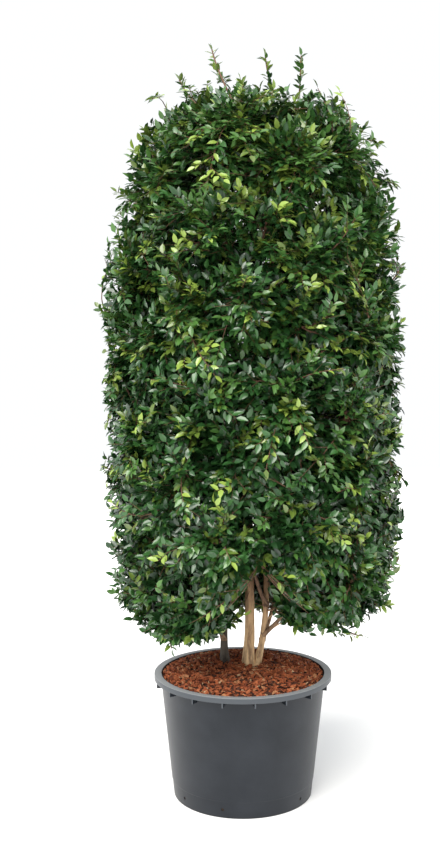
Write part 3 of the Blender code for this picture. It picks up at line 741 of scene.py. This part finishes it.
def build_pot():
    lip_bottom = POT_HEIGHT - LIP_DEPTH
    under_lip = POT_HEIGHT - 2 * LIP_EDGE
    outline = [
        (0.0, 0.0),
        (POT_FOOT_RADIUS - STEP_DEPTH, 0.0),
        (wall_radius(STEP_HEIGHT) - STEP_DEPTH, STEP_HEIGHT),
        (wall_radius(STEP_HEIGHT), STEP_HEIGHT + STEP_DEPTH),
        (wall_radius(under_lip), under_lip),
        (LIP_RADIUS - LIP_EDGE, under_lip),
        (LIP_RADIUS - LIP_EDGE, lip_bottom),
        (LIP_RADIUS, lip_bottom),
        (LIP_RADIUS, POT_HEIGHT),
        (inner_radius(POT_HEIGHT), POT_HEIGHT),
        (inner_radius(POT_THICKNESS), POT_THICKNESS),
        (0.0, POT_THICKNESS),
    ]
    pot = spun(rounded(outline), POT_SIDES, "nursery_pot")
    mesh = drained(pot)
    add_webs(mesh)
    pot.data = mesh
    mesh.materials.clear()
    mesh.materials.append(pot_material())
    mesh.shade_smooth()
    mesh.set_sharp_from_angle(angle=SHARP_ANGLE)
    finish_piece(pot, ["pot"])


def drain_rod(degrees):
    """A rod that pierces the wall near its foot."""
    bm = bmesh.new()
    size = {"radius1": DRAIN_RADIUS, "radius2": DRAIN_RADIUS, "depth": 8 * POT_THICKNESS}
    bmesh.ops.create_cone(bm, cap_ends=True, segments=DRAIN_SIDES, **size)
    rod = bpy.data.objects.new("drain", mesh_of("drain", bm))
    angle = math.radians(degrees)
    radius = inner_radius(DRAIN_HEIGHT)
    rod.rotation_euler = (0.0, math.pi / 2, angle)
    rod.location = (radius * math.cos(angle), radius * math.sin(angle), DRAIN_HEIGHT)
    return rod


def drained(pot):
    """The pot's mesh with its drain holes."""
    rods = bpy.data.collections.new("drains")
    for degrees in DRAIN_ANGLES:
        rods.objects.link(drain_rod(degrees))
    modifier = pot.modifiers.new("drain", "BOOLEAN")
    modifier.operation = "DIFFERENCE"
    modifier.operand_type = "COLLECTION"
    modifier.collection = rods
    graph = bpy.context.evaluated_depsgraph_get()
    mesh = bpy.data.meshes.new_from_object(pot.evaluated_get(graph))
    pot.modifiers.clear()
    for rod in list(rods.objects):
        bpy.data.objects.remove(rod, do_unlink=True)
    bpy.data.collections.remove(rods)
    return mesh


def add_webs(mesh):
    """The upright webs between the wall and the lip, which show below the lip."""
    top = POT_HEIGHT - 1.5 * LIP_EDGE
    bottom = POT_HEIGHT - WEB_HEIGHT
    inside = wall_radius(bottom) - 0.5 * POT_THICKNESS
    outside = LIP_RADIUS - 0.5 * LIP_EDGE
    centre = Vector((0.5 * (inside + outside), 0.0, 0.5 * (top + bottom)))
    size = (outside - inside, WEB_THICKNESS, top - bottom)
    web = Matrix.Translation(centre) @ Matrix.Diagonal((*size, 1.0))
    bm = bmesh.new()
    bm.from_mesh(mesh)
    for index in range(WEB_COUNT):
        angle = WEB_FIRST + index * math.tau / WEB_COUNT
        bmesh.ops.create_cube(bm, size=1.0, matrix=Matrix.Rotation(angle, 4, "Z") @ web)
    bm.to_mesh(mesh)
    bm.free()


def heap_height(radius):
    """Height of the mulch at that distance from the pot's axis."""
    edge = inner_radius(MULCH_EDGE)
    places = (0.0, SEAT_RADIUS, 0.5 * (edge + SEAT_RADIUS), edge)
    return np.interp(radius, places, (MULCH_HEAP, MULCH_HEAP, MULCH_SHOULDER, MULCH_EDGE))


def build_bed():
    """The body of the mulch, which shows between the chips."""
    edge = inner_radius(MULCH_EDGE) - WALL_GAP
    profile = [(0.0, MIX_TOP), (inner_radius(MIX_TOP) - WALL_GAP, MIX_TOP)]
    for radius in np.linspace(edge, 0.0, BED_RINGS):
        profile.append((float(radius), float(heap_height(radius)) - BED_SINK))
    bed = spun(profile, BED_SIDES, "mulch_bed")
    looks = crumbly_material("mulch_bed", BED_COLOUR, BED_HOLLOW_SHADE, BED_PALE, scale=90.0, distance=0.006)
    bed.data.materials.append(looks)
    bed.data.shade_smooth()
    finish_piece(bed, ["bark_mulch"])


def build_chips():
    """Loose chips of bark: boxes with ragged corners, tilted at random on the heap."""
    rng = np.random.default_rng(CHIP_SEED)
    edge = inner_radius(MULCH_EDGE) - WALL_GAP
    radius = (edge - CHIP_MARGIN) * np.sqrt(rng.random(CHIP_COUNT))
    azimuth = math.tau * rng.random(CHIP_COUNT)
    height = heap_height(radius) + rng.uniform(*CHIP_LIFT, CHIP_COUNT)
    centre = np.stack((radius * np.cos(azimuth), radius * np.sin(azimuth), height), -1)
    length = rng.uniform(*CHIP_LENGTH, CHIP_COUNT)
    length = np.minimum(length, np.maximum(CHIP_SHORTEST, CHIP_ROOM * (edge - radius)))
    width = length * rng.uniform(*CHIP_WIDTH, CHIP_COUNT)
    thickness = rng.uniform(*CHIP_THICKNESS, CHIP_COUNT)
    normal = unit(UP + rng.normal(0.0, CHIP_TILT, (CHIP_COUNT, 3)))
    heading = rng.normal(size=(CHIP_COUNT, 3))
    along = unit(np.cross(normal, heading))
    across = np.cross(normal, along)
    corners = np.array([(a, b, c) for a in (-1, 1) for b in (-1, 1) for c in (-1, 1)], float)
    shape = corners[None] * 0.5 * rng.uniform(*CHIP_RAGGED, (CHIP_COUNT, len(corners), 3))
    points = (
        centre[:, None]
        + shape[..., 0:1] * (length[:, None, None] * along[:, None])
        + shape[..., 1:2] * (width[:, None, None] * across[:, None])
        + shape[..., 2:3] * (thickness[:, None, None] * normal[:, None])
    )
    triangles = repeated(CHIP_FACES, CHIP_COUNT, len(corners))
    colours, shares = zip(*CHIP_COLOURS)
    picks = rng.choice(len(shares), CHIP_COUNT, p=np.array(shares) / np.sum(shares))
    materials = [chip_material(index, colour) for index, colour in enumerate(colours)]
    picks = np.repeat(picks, len(CHIP_FACES))
    points = points.reshape(-1, 3)
    nodes = ["bark_mulch"]
    mesh_piece("bark_chips", points, triangles, materials, picks, "bark_mulch", nodes, smooth=False)


def wrapped(angle):
    """The angle brought between -pi and pi."""
    return (angle + math.pi) % math.tau - math.pi


def foot_height(azimuth):
    """Height of the lowest leaves, with a notch in front that shows the trunk."""
    notch = NOTCH_RISE * np.exp(-((wrapped(azimuth - NOTCH_ANGLE) / NOTCH_WIDTH) ** 2))
    return FOOT_HEIGHT + notch + FOOT_RISE_RIGHT * 0.5 * (1.0 + np.cos(azimuth))


def meridian(t, azimuth):
    """(radius, height) on the outline, from the middle of the underside at t = -1 to the top at t = 1."""
    power = SHOULDER_POWER if t > 0 else SKIRT_POWER
    share = max(0.0, 1.0 - abs(t) ** power) ** (1.0 / ROUND_POWER)
    if t > 0:
        return CROWN_RADIUS * share, CROWN_WAIST + t * (CROWN_TOP - CROWN_WAIST)
    height = CROWN_WAIST + t * (CROWN_WAIST - foot_height(azimuth))
    return CROWN_RADIUS * share, height + ARCH_RISE * (1.0 - share)


def inside_crown(points, inset):
    """Which points (count, 3) are at least inset inside the outline."""
    x = points[:, 0] - CROWN_X
    radius = np.hypot(x, points[:, 1])
    azimuth = np.arctan2(points[:, 1], x)
    share = np.maximum(0.0, radius + inset) / CROWN_RADIUS
    rest = np.maximum(1e-9, 1.0 - share**ROUND_POWER)
    top = CROWN_WAIST + rest ** (1.0 / SHOULDER_POWER) * (CROWN_TOP - CROWN_WAIST)
    depth = rest ** (1.0 / SKIRT_POWER) * (CROWN_WAIST - foot_height(azimuth))
    low = CROWN_WAIST - depth + ARCH_RISE * (1.0 - share)
    height = points[:, 2]
    return (share < 1.0) & (low + 0.5 * inset <= height) & (height <= top - inset)


def drawn_in(points):
    """The points drawn towards the crown's axis where the plant is slimmer than the smooth outline."""
    heights, left, right = np.array(OUTLINE).T
    x, y, z = points.T
    radius = np.hypot(x - CROWN_X, y)
    share = 0.5 + 0.5 * (x - CROWN_X) / np.maximum(radius, 1e-6)
    wanted = np.interp(z, heights, left) * (1.0 - share) + np.interp(z, heights, right) * share
    scale = np.minimum(1.0, (wanted - OUTLINE_LEAF) / np.maximum(radius, 1e-6))
    return np.stack((CROWN_X + (x - CROWN_X) * scale, y * scale, z), -1)


def in_box(points):
    """Which points are inside the solids' own box, or only just outside."""
    low, high = np.array(cad_bounds)
    return ((points > low - BOX_ROOM) & (points < high + BOX_ROOM)).all(axis=1)


def clear_of_shaft(points):
    """Which points are outside the space that the limbs have to themselves."""
    radius = np.hypot(points[:, 0] - CROWN_X, points[:, 1])
    height = points[:, 2]
    shaft = SHAFT_RADIUS * np.clip((SHAFT_TOP + SHAFT_CLOSE - height) / SHAFT_CLOSE, 0.0, 1.0)
    return radius > shaft


def on_crown(radius, azimuth, height):
    """The point at that distance from the crown's axis."""
    return np.array((CROWN_X + radius * math.cos(azimuth), radius * math.sin(azimuth), height))


def list_masses():
    """A record for each mass of foliage: name, tier, heart and where its bough enters."""
    masses = []
    for tier, height, distance, count, first in TIERS:
        for index in range(count):
            degrees = first + index * 360.0 / count
            azimuth = math.radians(degrees)
            side = COMPASS[round(degrees / 45.0) % len(COMPASS)]
            lift = STAGGER * math.cos((index + count) * GOLDEN_ANGLE)
            if (tier, side) == ("low", "front"):
                lift = FRONT_LIFT
            masses.append(
                {
                    "name": f"{tier}_{side}",
                    "tier": tier,
                    "heart": on_crown(distance, azimuth, height + lift),
                    "entry": on_crown(ENTRY_RADIUS, azimuth, height + lift - ENTRY_DROP),
                }
            )
    return masses


def skin_points(count, skip=0):
    """Points spread evenly over the outline by the additive R2 sequence, as (count, 3)."""
    areas = [0.0]
    before = meridian(-1.0, math.pi)
    for k in range(1, OUTLINE_STEPS + 1):
        here = meridian(-1.0 + 2.0 * k / OUTLINE_STEPS, math.pi)
        width = math.hypot(here[0] - before[0], here[1] - before[1])
        areas.append(areas[-1] + width * (here[0] + before[0]))
        before = here
    found = []
    for index in range(skip, skip + count):
        wanted = areas[-1] * ((0.5 + index / PLASTIC_NUMBER) % 1.0)
        t = -1.0 + 2.0 * np.interp(wanted, areas, np.arange(OUTLINE_STEPS + 1)) / OUTLINE_STEPS
        azimuth = math.tau * ((0.5 + index / PLASTIC_NUMBER**2) % 1.0)
        radius, height = meridian(t, azimuth)
        found.append(on_crown(radius, azimuth, height))
    return np.array(found)


def owners(hearts, points):
    """The mass that each point belongs to, which is the one with the nearest heart."""
    return np.linalg.norm(points[:, None] - hearts[None], axis=2).argmin(axis=1)


def stem_body(course, radii, seed):
    """A stem with a buttressed foot and bark relief."""
    shares = (np.arange(STEM_RINGS) / (STEM_RINGS - 1)) ** RING_POWER
    path = spline(course, shares)
    angle = math.tau * np.arange(STEM_SIDES) / STEM_SIDES
    flare = FLARE * np.exp(-(path[:, 2] - path[0, 2]) / FLARE_HEIGHT)
    foot = 1.0 + flare[:, None] * (1.0 + BUTTRESS_DEPTH * np.cos(BUTTRESSES * angle)[None, :])
    taper = radii[0] + (radii[1] - radii[0]) * shares**STEM_POWER
    sizes = taper[:, None] * foot * ridges(shares, STEM_SIDES, STEM_RELIEF, seed)
    return tubes(path[None], sizes[None], STEM_SIDES)


def root_of_bough(entry):
    """The point where a bough to the entry leaves its stem."""
    starts = []
    for course in STEMS:
        path = spline(course, np.linspace(0.0, 1.0, ROOT_STEPS))
        outwards = np.hypot(entry[0] - path[:, 0], entry[1] - path[:, 1])
        miss = np.abs(path[:, 2] - (entry[2] - BOUGH_DROP - BOUGH_RISE * outwards))
        starts.append(path[miss.argmin()])
    return min(starts, key=lambda start: np.linalg.norm(entry - start))


def limb(start, bend, tip, sizes, seed):
    """A limb from start to tip with bark relief: its course and its body."""
    shares = np.linspace(0.0, 1.0, BOUGH_RINGS)
    path = bezier(start[None], bend[None], tip[None], shares)
    relief = ridges(shares * BOUGH_GRAIN, BOUGH_SIDES, BOUGH_RELIEF, seed)
    return path[0], tubes(path, (sizes[:, None] * relief)[None], BOUGH_SIDES)


def bough_to(mass, seed):
    """The bough from its stem to where it enters the mass: its last direction and its body."""
    entry = mass["entry"]
    start = root_of_bough(entry)
    level = entry - start
    level[2] = 0.0
    out = unit(unit(level) + BOUGH_RISE * UP)
    reach = np.linalg.norm(entry - start)
    shares = np.linspace(0.0, 1.0, BOUGH_RINGS)
    sizes = np.linspace(*BOUGH_RADII, BOUGH_RINGS)
    sizes = sizes * (1.0 + COLLAR_SWELL * np.exp(-shares * reach / COLLAR_SPREAD))
    path, body = limb(start, start + out * LIMB_BEND * reach, entry, sizes, seed)
    return unit(path[-1] - path[-2]), body


def limb_to_heart(mass, end, tangent, radius, seed):
    """The limb that carries a mass, from the end of its bough or stem to the heart."""
    heart = mass["heart"]
    bend = end + tangent * LIMB_BEND * np.linalg.norm(heart - end)
    return limb(end, bend, heart, np.linspace(radius, STEM_TAPER * radius, BOUGH_RINGS), seed)[1]


def side_branch(start, bend, tip):
    shares = np.linspace(0.0, 1.0, SIDE_RINGS)
    path = bezier(np.array([start]), np.array([bend]), np.array([tip]), shares)
    return tubes(path, np.linspace(*SIDE_RADII, SIDE_RINGS)[None, :, None], SIDE_SIDES)


def build_limbs(masses):
    """Stems and boughs, and on to the hearts of the masses."""
    on_boughs = [mass for mass in masses if mass["tier"] != "top"]
    limbs = []
    for mass in on_boughs:
        tangent, bough = bough_to(mass, 3.0 * len(limbs))
        limbs.append(bough)
        limbs.append(limb_to_heart(mass, mass["entry"], tangent, BOUGH_RADII[1], len(limbs)))
    named = {mass["name"]: mass for mass in masses}
    for course, radii, name in zip(STEMS, STEM_RADII, STEM_MASSES):
        before, end = spline(course, STEM_END)
        limbs.append(limb_to_heart(named[name], end, unit(end - before), radii[1], len(limbs)))
    main, right, left = map(stem_body, STEMS, STEM_RADII, STEM_SEEDS)
    branches = [side_branch(*course) for course in SIDE_BRANCHES]
    boughs = ["bough_" + mass["name"] for mass in on_boughs]
    pale, grey, red = map(bark_material, BARKS)
    bark_piece("trunk_bark", [main, right, *branches], pale, ["trunk"])
    bark_piece("left_stem_bark", [left], grey, ["left_stem"])
    bark_piece("boughs_bark", limbs, red, boughs)


class Twigs(NamedTuple):
    """Curves from start to tip that are drawn towards bend, and the mass that each belongs to."""

    start: np.ndarray
    bend: np.ndarray
    tip: np.ndarray
    mass: np.ndarray

    def at(self, shares):
        return bezier(self.start, self.bend, self.tip, shares)

    def far_halves(self):
        middle = 0.25 * self.start + 0.5 * self.bend + 0.25 * self.tip
        return Twigs(middle, 0.5 * (self.bend + self.tip), self.tip, self.mass)


class Leaves(NamedTuple):
    """Foot, direction, normal and length of each leaf, and the numbers of its mass and colour."""

    foot: np.ndarray
    direction: np.ndarray
    normal: np.ndarray
    length: np.ndarray
    mass: np.ndarray
    colour: np.ndarray

    def tips(self):
        return self.foot + self.direction * self.length[:, None]


def only(those, chosen):
    """The chosen ones of the twigs or leaves."""
    return type(those)(*(part[chosen] for part in those))


def both(those, others):
    """Two sets of twigs or leaves as one."""
    return type(those)(*(np.concatenate(pair) for pair in zip(those, others)))


def outward(points):
    """The way out of the crown at each point."""
    away = points - np.array((CROWN_X, 0.0, CROWN_WAIST))
    away[..., 2] *= OUTWARD_RISE
    return unit(away)


def coarse_twigs(hearts):
    """The twigs that run from the hearts to the skin, and after them the long young shoots."""
    skin = skin_points(SKIN_TWIGS)
    mine = owners(hearts, skin)
    start = hearts[mine]
    tip = drawn_in(skin) + unit(start - skin) * TWIG_INSET
    sag = np.linalg.norm(tip - start, axis=1, keepdims=True) * TWIG_SAG
    bend = start + (tip - start) * TWIG_BEND - sag * UP
    return both(Twigs(start, bend, tip, mine), long_shoots(hearts))


def long_shoots(hearts):
    """The long young shoots, without the leaf at the tip of each."""
    tip = np.array(SHOOT_TIPS)
    mine = owners(hearts, tip)
    start = hearts[mine]
    rise = unit(unit(tip - start) + SHOOT_RISE * UP)
    return Twigs(start, tip - rise * SHOOT_LENGTH, tip - rise * SHOOT_LEAF, mine)


def leafy_ends_of_shoots(coarse):
    """The straight leafy ends of the long young shoots."""
    tip = np.array(SHOOT_TIPS)
    end = coarse.tip[SKIN_TWIGS:]
    foot = tip - unit(tip - end) * SHOOT_LENGTH
    return Twigs(foot, 0.5 * (foot + end), end, coarse.mass[SKIN_TWIGS:])


def skin_tips(rng):
    """Tips of fine twigs just under the skin, drawn back between clumps. Some end deep inside."""
    skin = drawn_in(skin_points(FINE_TWIGS, skip=SKIN_TWIGS))
    clumps = drawn_in(skin_points(CLUMPS, skip=CLUMP_SKIP))
    away = np.sort(np.linalg.norm(skin[:, None] - clumps[None], axis=2), axis=1)
    share = np.clip((away[:, 1] - away[:, 0]) / CLUMP_WIDTH, 0.0, 1.0)
    inset = rng.uniform(*FINE_INSET, len(skin)) + CLUMP_DEPTH * (1.0 - share) ** CLUMP_POWER
    deep = np.arange(len(skin)) % DEEP_EACH == 0
    inset[deep] = rng.uniform(*DEEP_INSET, deep.sum())
    return skin - outward(skin) * inset[:, None]


def stray_tips(rng):
    """Tips of fine twigs that stand out of the outline."""
    skin = drawn_in(skin_points(STRAYS, skip=STRAY_SKIP))
    reach = rng.uniform(*STRAY_REACH, (STRAYS, 1))
    tips = skin + reach * outward(skin) + rng.uniform(*STRAY_RISE, (STRAYS, 1)) * UP
    return tips[tips[:, 2] < STRAY_TOP]


def fine_twigs(hearts, coarse, tip):
    """Finer twigs to these tips, each from the nearest coarse twig of its mass that isn't too far out."""
    mine = owners(hearts, tip)
    paths = coarse.at(np.linspace(*FORKS, FORK_PLACES))
    tangents = unit(np.gradient(paths, axis=1))
    start = np.empty_like(tip)
    leaving = np.empty_like(tip)
    for mass, heart in enumerate(hearts):
        ours = mine == mass
        theirs = coarse.mass == mass
        places = paths[theirs].reshape(-1, 3)
        ways = tangents[theirs].reshape(-1, 3)
        away = np.linalg.norm(tip[ours][:, None] - places[None], axis=2)
        depth = np.linalg.norm(places - heart, axis=1)[None]
        deepest = FORK_DEPTH * np.linalg.norm(tip[ours] - heart, axis=1)[:, None]
        chosen = (away + FORK_WEIGHT * np.maximum(0.0, depth - deepest)).argmin(axis=1)
        start[ours] = places[chosen]
        leaving[ours] = ways[chosen]
    length = np.linalg.norm(tip - start, axis=1, keepdims=True)
    bend = start + FINE_BEND * length * unit(leaving + FINE_TURN * unit(tip - start))
    return Twigs(start, bend, tip, mine)


def sprays_on(fine, rng):
    """The short leafy twigs, set round each fine twig, with one that goes on from its tip."""
    paths = fine.at(np.linspace(SPRAY_FROM, 1.0, SPRAYS))
    tangent = unit(np.gradient(paths, axis=1))
    side = unit(np.cross(tangent, LEANING_UP))
    other = np.cross(tangent, side)
    first = rng.uniform(0.0, math.tau, (len(paths), 1))
    turn = first + GOLDEN_ANGLE * np.arange(SPRAYS)[None, :]
    aside = np.cos(turn)[..., None] * side + np.sin(turn)[..., None] * other
    spread = np.full(SPRAYS, SPRAY_SPREAD)
    spread[-1] = SPRAY_END_SPREAD
    sideways = spread[None, :, None] * aside * SPRAY_ASIDE
    way = unit(tangent + sideways + SPRAY_OUT * outward(paths) + SPRAY_RISE * UP).reshape(-1, 3)
    start = paths.reshape(-1, 3)
    length = rng.uniform(*SPRAY_LENGTH, len(start))[:, None]
    bend = start + SPRAY_BEND * length * unit(way - SPRAY_SAG * UP)
    sprays = Twigs(start, bend, start + way * length, np.repeat(fine.mass, SPRAYS))
    part_way = (1.0 - SPRAY_PART) * sprays.start + SPRAY_PART * sprays.tip
    return only(sprays, inside_crown(sprays.tip, -TWIG_OVERSHOOT) & clear_of_shaft(part_way))


def leaves_on(twigs, rng, count, lengths):
    """Leaves set alternately along leafy twigs, with one at the tip."""
    paths = twigs.at(np.linspace(LEAF_FROM, 1.0, count))
    tangent = unit(np.gradient(paths, axis=1))
    ragged = rng.normal(0.0, FACE_RAGGED, paths.shape)
    facing = unit(FACE_OUT * outward(paths) + FACE_UP * UP + ragged)
    side = unit(np.cross(tangent, facing))
    hand = np.where(np.arange(count) % 2 == 0, 1.0, -1.0)
    spread = rng.uniform(*LEAF_SPREAD, paths.shape[:2])
    spread[:, -1] = LEAF_END_SPREAD
    direction = np.cos(spread)[..., None] * tangent + (hand * np.sin(spread))[..., None] * side
    direction = unit(direction + rng.normal(0.0, LEAF_RAGGED, direction.shape))
    normal = unit(facing - (facing * direction).sum(-1, keepdims=True) * direction)
    length = rng.uniform(*lengths, spread.shape).ravel()
    mass = np.repeat(twigs.mass, count)
    rows = (part.reshape(-1, 3) for part in (paths, direction, normal))
    return Leaves(*rows, length, mass, np.zeros_like(mass))


def dealt(shares, numbers):
    """The colour that each number between 0 and 1 stands for."""
    return np.minimum(np.searchsorted(np.cumsum(shares), numbers), len(shares) - 1)


def spray_colours(sprays, rng):
    """A colour for each leafy twig, lighter towards the top and on the outermost ones, from young growth
    and from painted light: light from above at the top, and a glow through the leaves at the outline.
    """
    height = sprays.tip[:, 2]
    numbers = rng.random(len(height))
    lit = np.clip((height - TOP_LIGHT[0]) / (TOP_LIGHT[1] - TOP_LIGHT[0]), 0.0, 1.0)
    # Painted light: the outermost sprays may take the top's lighter greens as a glow through the leaves
    fresh = np.maximum(lit, OUTER_GLOW_AND_YOUNG * ~inside_crown(sprays.tip, 0.0))
    light = rng.random(len(height)) < fresh
    return np.where(light, dealt(TOP_SHARES, numbers), dealt(LEAF_SHARES, numbers))


def crown_leaves(sprays, rng):
    """The leaves of the sprays that keep to the outline, clear of the limbs and the pot."""
    colours = np.repeat(spray_colours(sprays, rng), LEAVES_ON_SPRAY)
    leaves = leaves_on(sprays, rng, LEAVES_ON_SPRAY, LEAF_LENGTHS)._replace(colour=colours)
    tips = leaves.tips()
    above_pot = tips[:, 2] > POT_HEIGHT + POT_CLEARANCE
    return only(leaves, inside_crown(tips, -OVERSHOOT) & clear_of_shaft(tips) & above_pot)


def young_leaves(shoots, strays, rng):
    """The leaves of the long young shoots and of the twigs that stand out of the outline, in young greens
    that on the outline are also a painted glow of light through the leaves.
    """
    on_shoots = leaves_on(shoots, rng, SHOOT_LEAVES, YOUNG_LENGTHS)
    leaves = both(on_shoots, leaves_on(strays, rng, STRAY_LEAVES, YOUNG_LENGTHS))
    # Painted light: the young greens of the twigs out of the outline also stand in for light through the
    # leaves
    return leaves._replace(colour=dealt(TIP_SHARES, rng.random(len(leaves.foot))))


def leaf_mesh(leaves):
    """Seven points and six triangles for each leaf: a pointed ellipse, folded along its midrib."""
    size = leaves.length[:, None]
    half = 0.5 * LEAF_WIDTH * size
    across = np.cross(leaves.direction, leaves.normal)
    points = [
        leaves.foot + along * size * leaves.direction + aside * half * across + up * size * leaves.normal
        for along, aside, up in LEAF_SHAPE
    ]
    triangles = repeated(LEAF_FACES, len(leaves.foot), len(LEAF_SHAPE))
    return np.stack(points, axis=1).reshape(-1, 3), triangles


def twig_tubes(kinds, ours):
    """All twigs of the chosen masses as (points, triangles)."""
    parts = []
    for twigs, radii, rings, sides in kinds:
        paths = only(twigs, ours[twigs.mass]).at(np.linspace(0.0, 1.0, rings))
        parts.append(tubes(paths, np.linspace(*radii, rings)[None, :, None], sides))
    return parts


def build_foliage(masses):
    """Twigs and leaves, joined by tier and kind."""
    rng = np.random.default_rng(FOLIAGE_SEED)
    hearts = np.array([mass["heart"] for mass in masses])
    coarse = coarse_twigs(hearts)
    covered = skin_tips(rng)
    fine = fine_twigs(hearts, coarse, np.concatenate((covered, stray_tips(rng))))
    sprays = sprays_on(fine, rng)
    leaves = crown_leaves(sprays, rng)
    strays = only(fine, slice(len(covered), None)).far_halves()
    leaves = both(leaves, young_leaves(leafy_ends_of_shoots(coarse), strays, rng))
    leaves = only(leaves, in_box(leaves.tips()))
    greens = leaf_materials()
    twig_bark = plain("twig_bark", TWIG_COLOUR, roughness=0.75)
    kinds = (
        (coarse, TWIG_RADII, TWIG_RINGS, TWIG_SIDES),
        (fine, FINE_RADII, FINE_RINGS, FINE_SIDES),
        (sprays, SPRAY_RADII, SPRAY_RINGS, SPRAY_SIDES),
    )
    for tier, *_ in TIERS:
        ours = np.array([mass["tier"] == tier for mass in masses])
        nodes = ["foliage_" + mass["name"] for mass in masses if mass["tier"] == tier]
        here = only(leaves, ours[leaves.mass])
        picks = np.repeat(here.colour, len(LEAF_FACES))
        mesh_piece("leaves_" + tier, *leaf_mesh(here), greens, picks, "leaf", nodes)
        bark_piece("twigs_" + tier, twig_tubes(kinds, ours), twig_bark, nodes)


def dress_potting_mix():
    looks = crumbly_material("potting_mix", MIX_COLOUR, MIX_HOLLOW_SHADE, MIX_PALE, scale=70.0, distance=0.003)
    mesh = frame["nodes"]["potting_mix"].data
    mesh.materials.clear()
    mesh.materials.append(looks)


def build_floor():
    mesh = bpy.data.meshes.new("floor")
    square = ((-1, -1), (1, -1), (1, 1), (-1, 1))
    corners = [(FLOOR_REACH * x, FLOOR_REACH * y, -FLOOR_DROP) for x, y in square]
    mesh.from_pydata(corners, [], [(0, 1, 2, 3)])
    mesh.materials.append(plain("floor", FLOOR_COLOUR, roughness=0.95))
    floor = linked("floor", mesh)


def light_studio():
    """A pale sky and one large soft light from above, in front and to the left."""
    world = bpy.data.worlds.new("studio")
    bpy.context.scene.world = world
    world.use_nodes = True
    sky = world.node_tree.nodes["Background"].inputs
    sky["Color"].default_value = (*SKY_COLOUR, 1.0)
    sky["Strength"].default_value = SKY_STRENGTH
    sun = bpy.data.lights.new("key", "SUN")
    sun.energy = SUN_STRENGTH
    sun.angle = SUN_SIZE
    sun.color = SUN_COLOUR
    lamp = linked("key", sun)
    lamp.rotation_euler = (SUN_FROM_ZENITH, 0.0, SUN_TURN)


def build_camera():
    data = bpy.data.cameras.new("camera")
    data.sensor_width = SENSOR_WIDTH
    data.lens = FOCAL_PIXELS * SENSOR_WIDTH / PICTURE_HEIGHT
    data.shift_x = -(VIEW_CENTRE[0] - 0.5 * PICTURE_WIDTH) / PICTURE_HEIGHT
    data.shift_y = (VIEW_CENTRE[1] - 0.5 * PICTURE_HEIGHT) / PICTURE_HEIGHT
    data.clip_end = FAR_AWAY
    camera = linked("camera", data)
    camera.location = (0.0, -CAMERA_DISTANCE, CAMERA_HEIGHT)
    camera.rotation_euler = (math.pi / 2 - CAMERA_PITCH, 0.0, 0.0)
    bpy.context.scene.camera = camera


build_camera()
build_floor()
light_studio()
build_pot()
dress_potting_mix()
build_bed()
build_chips()
all_masses = list_masses()
build_limbs(all_masses)
build_foliage(all_masses)

bpy.context.scene.view_settings.view_transform = "Standard"
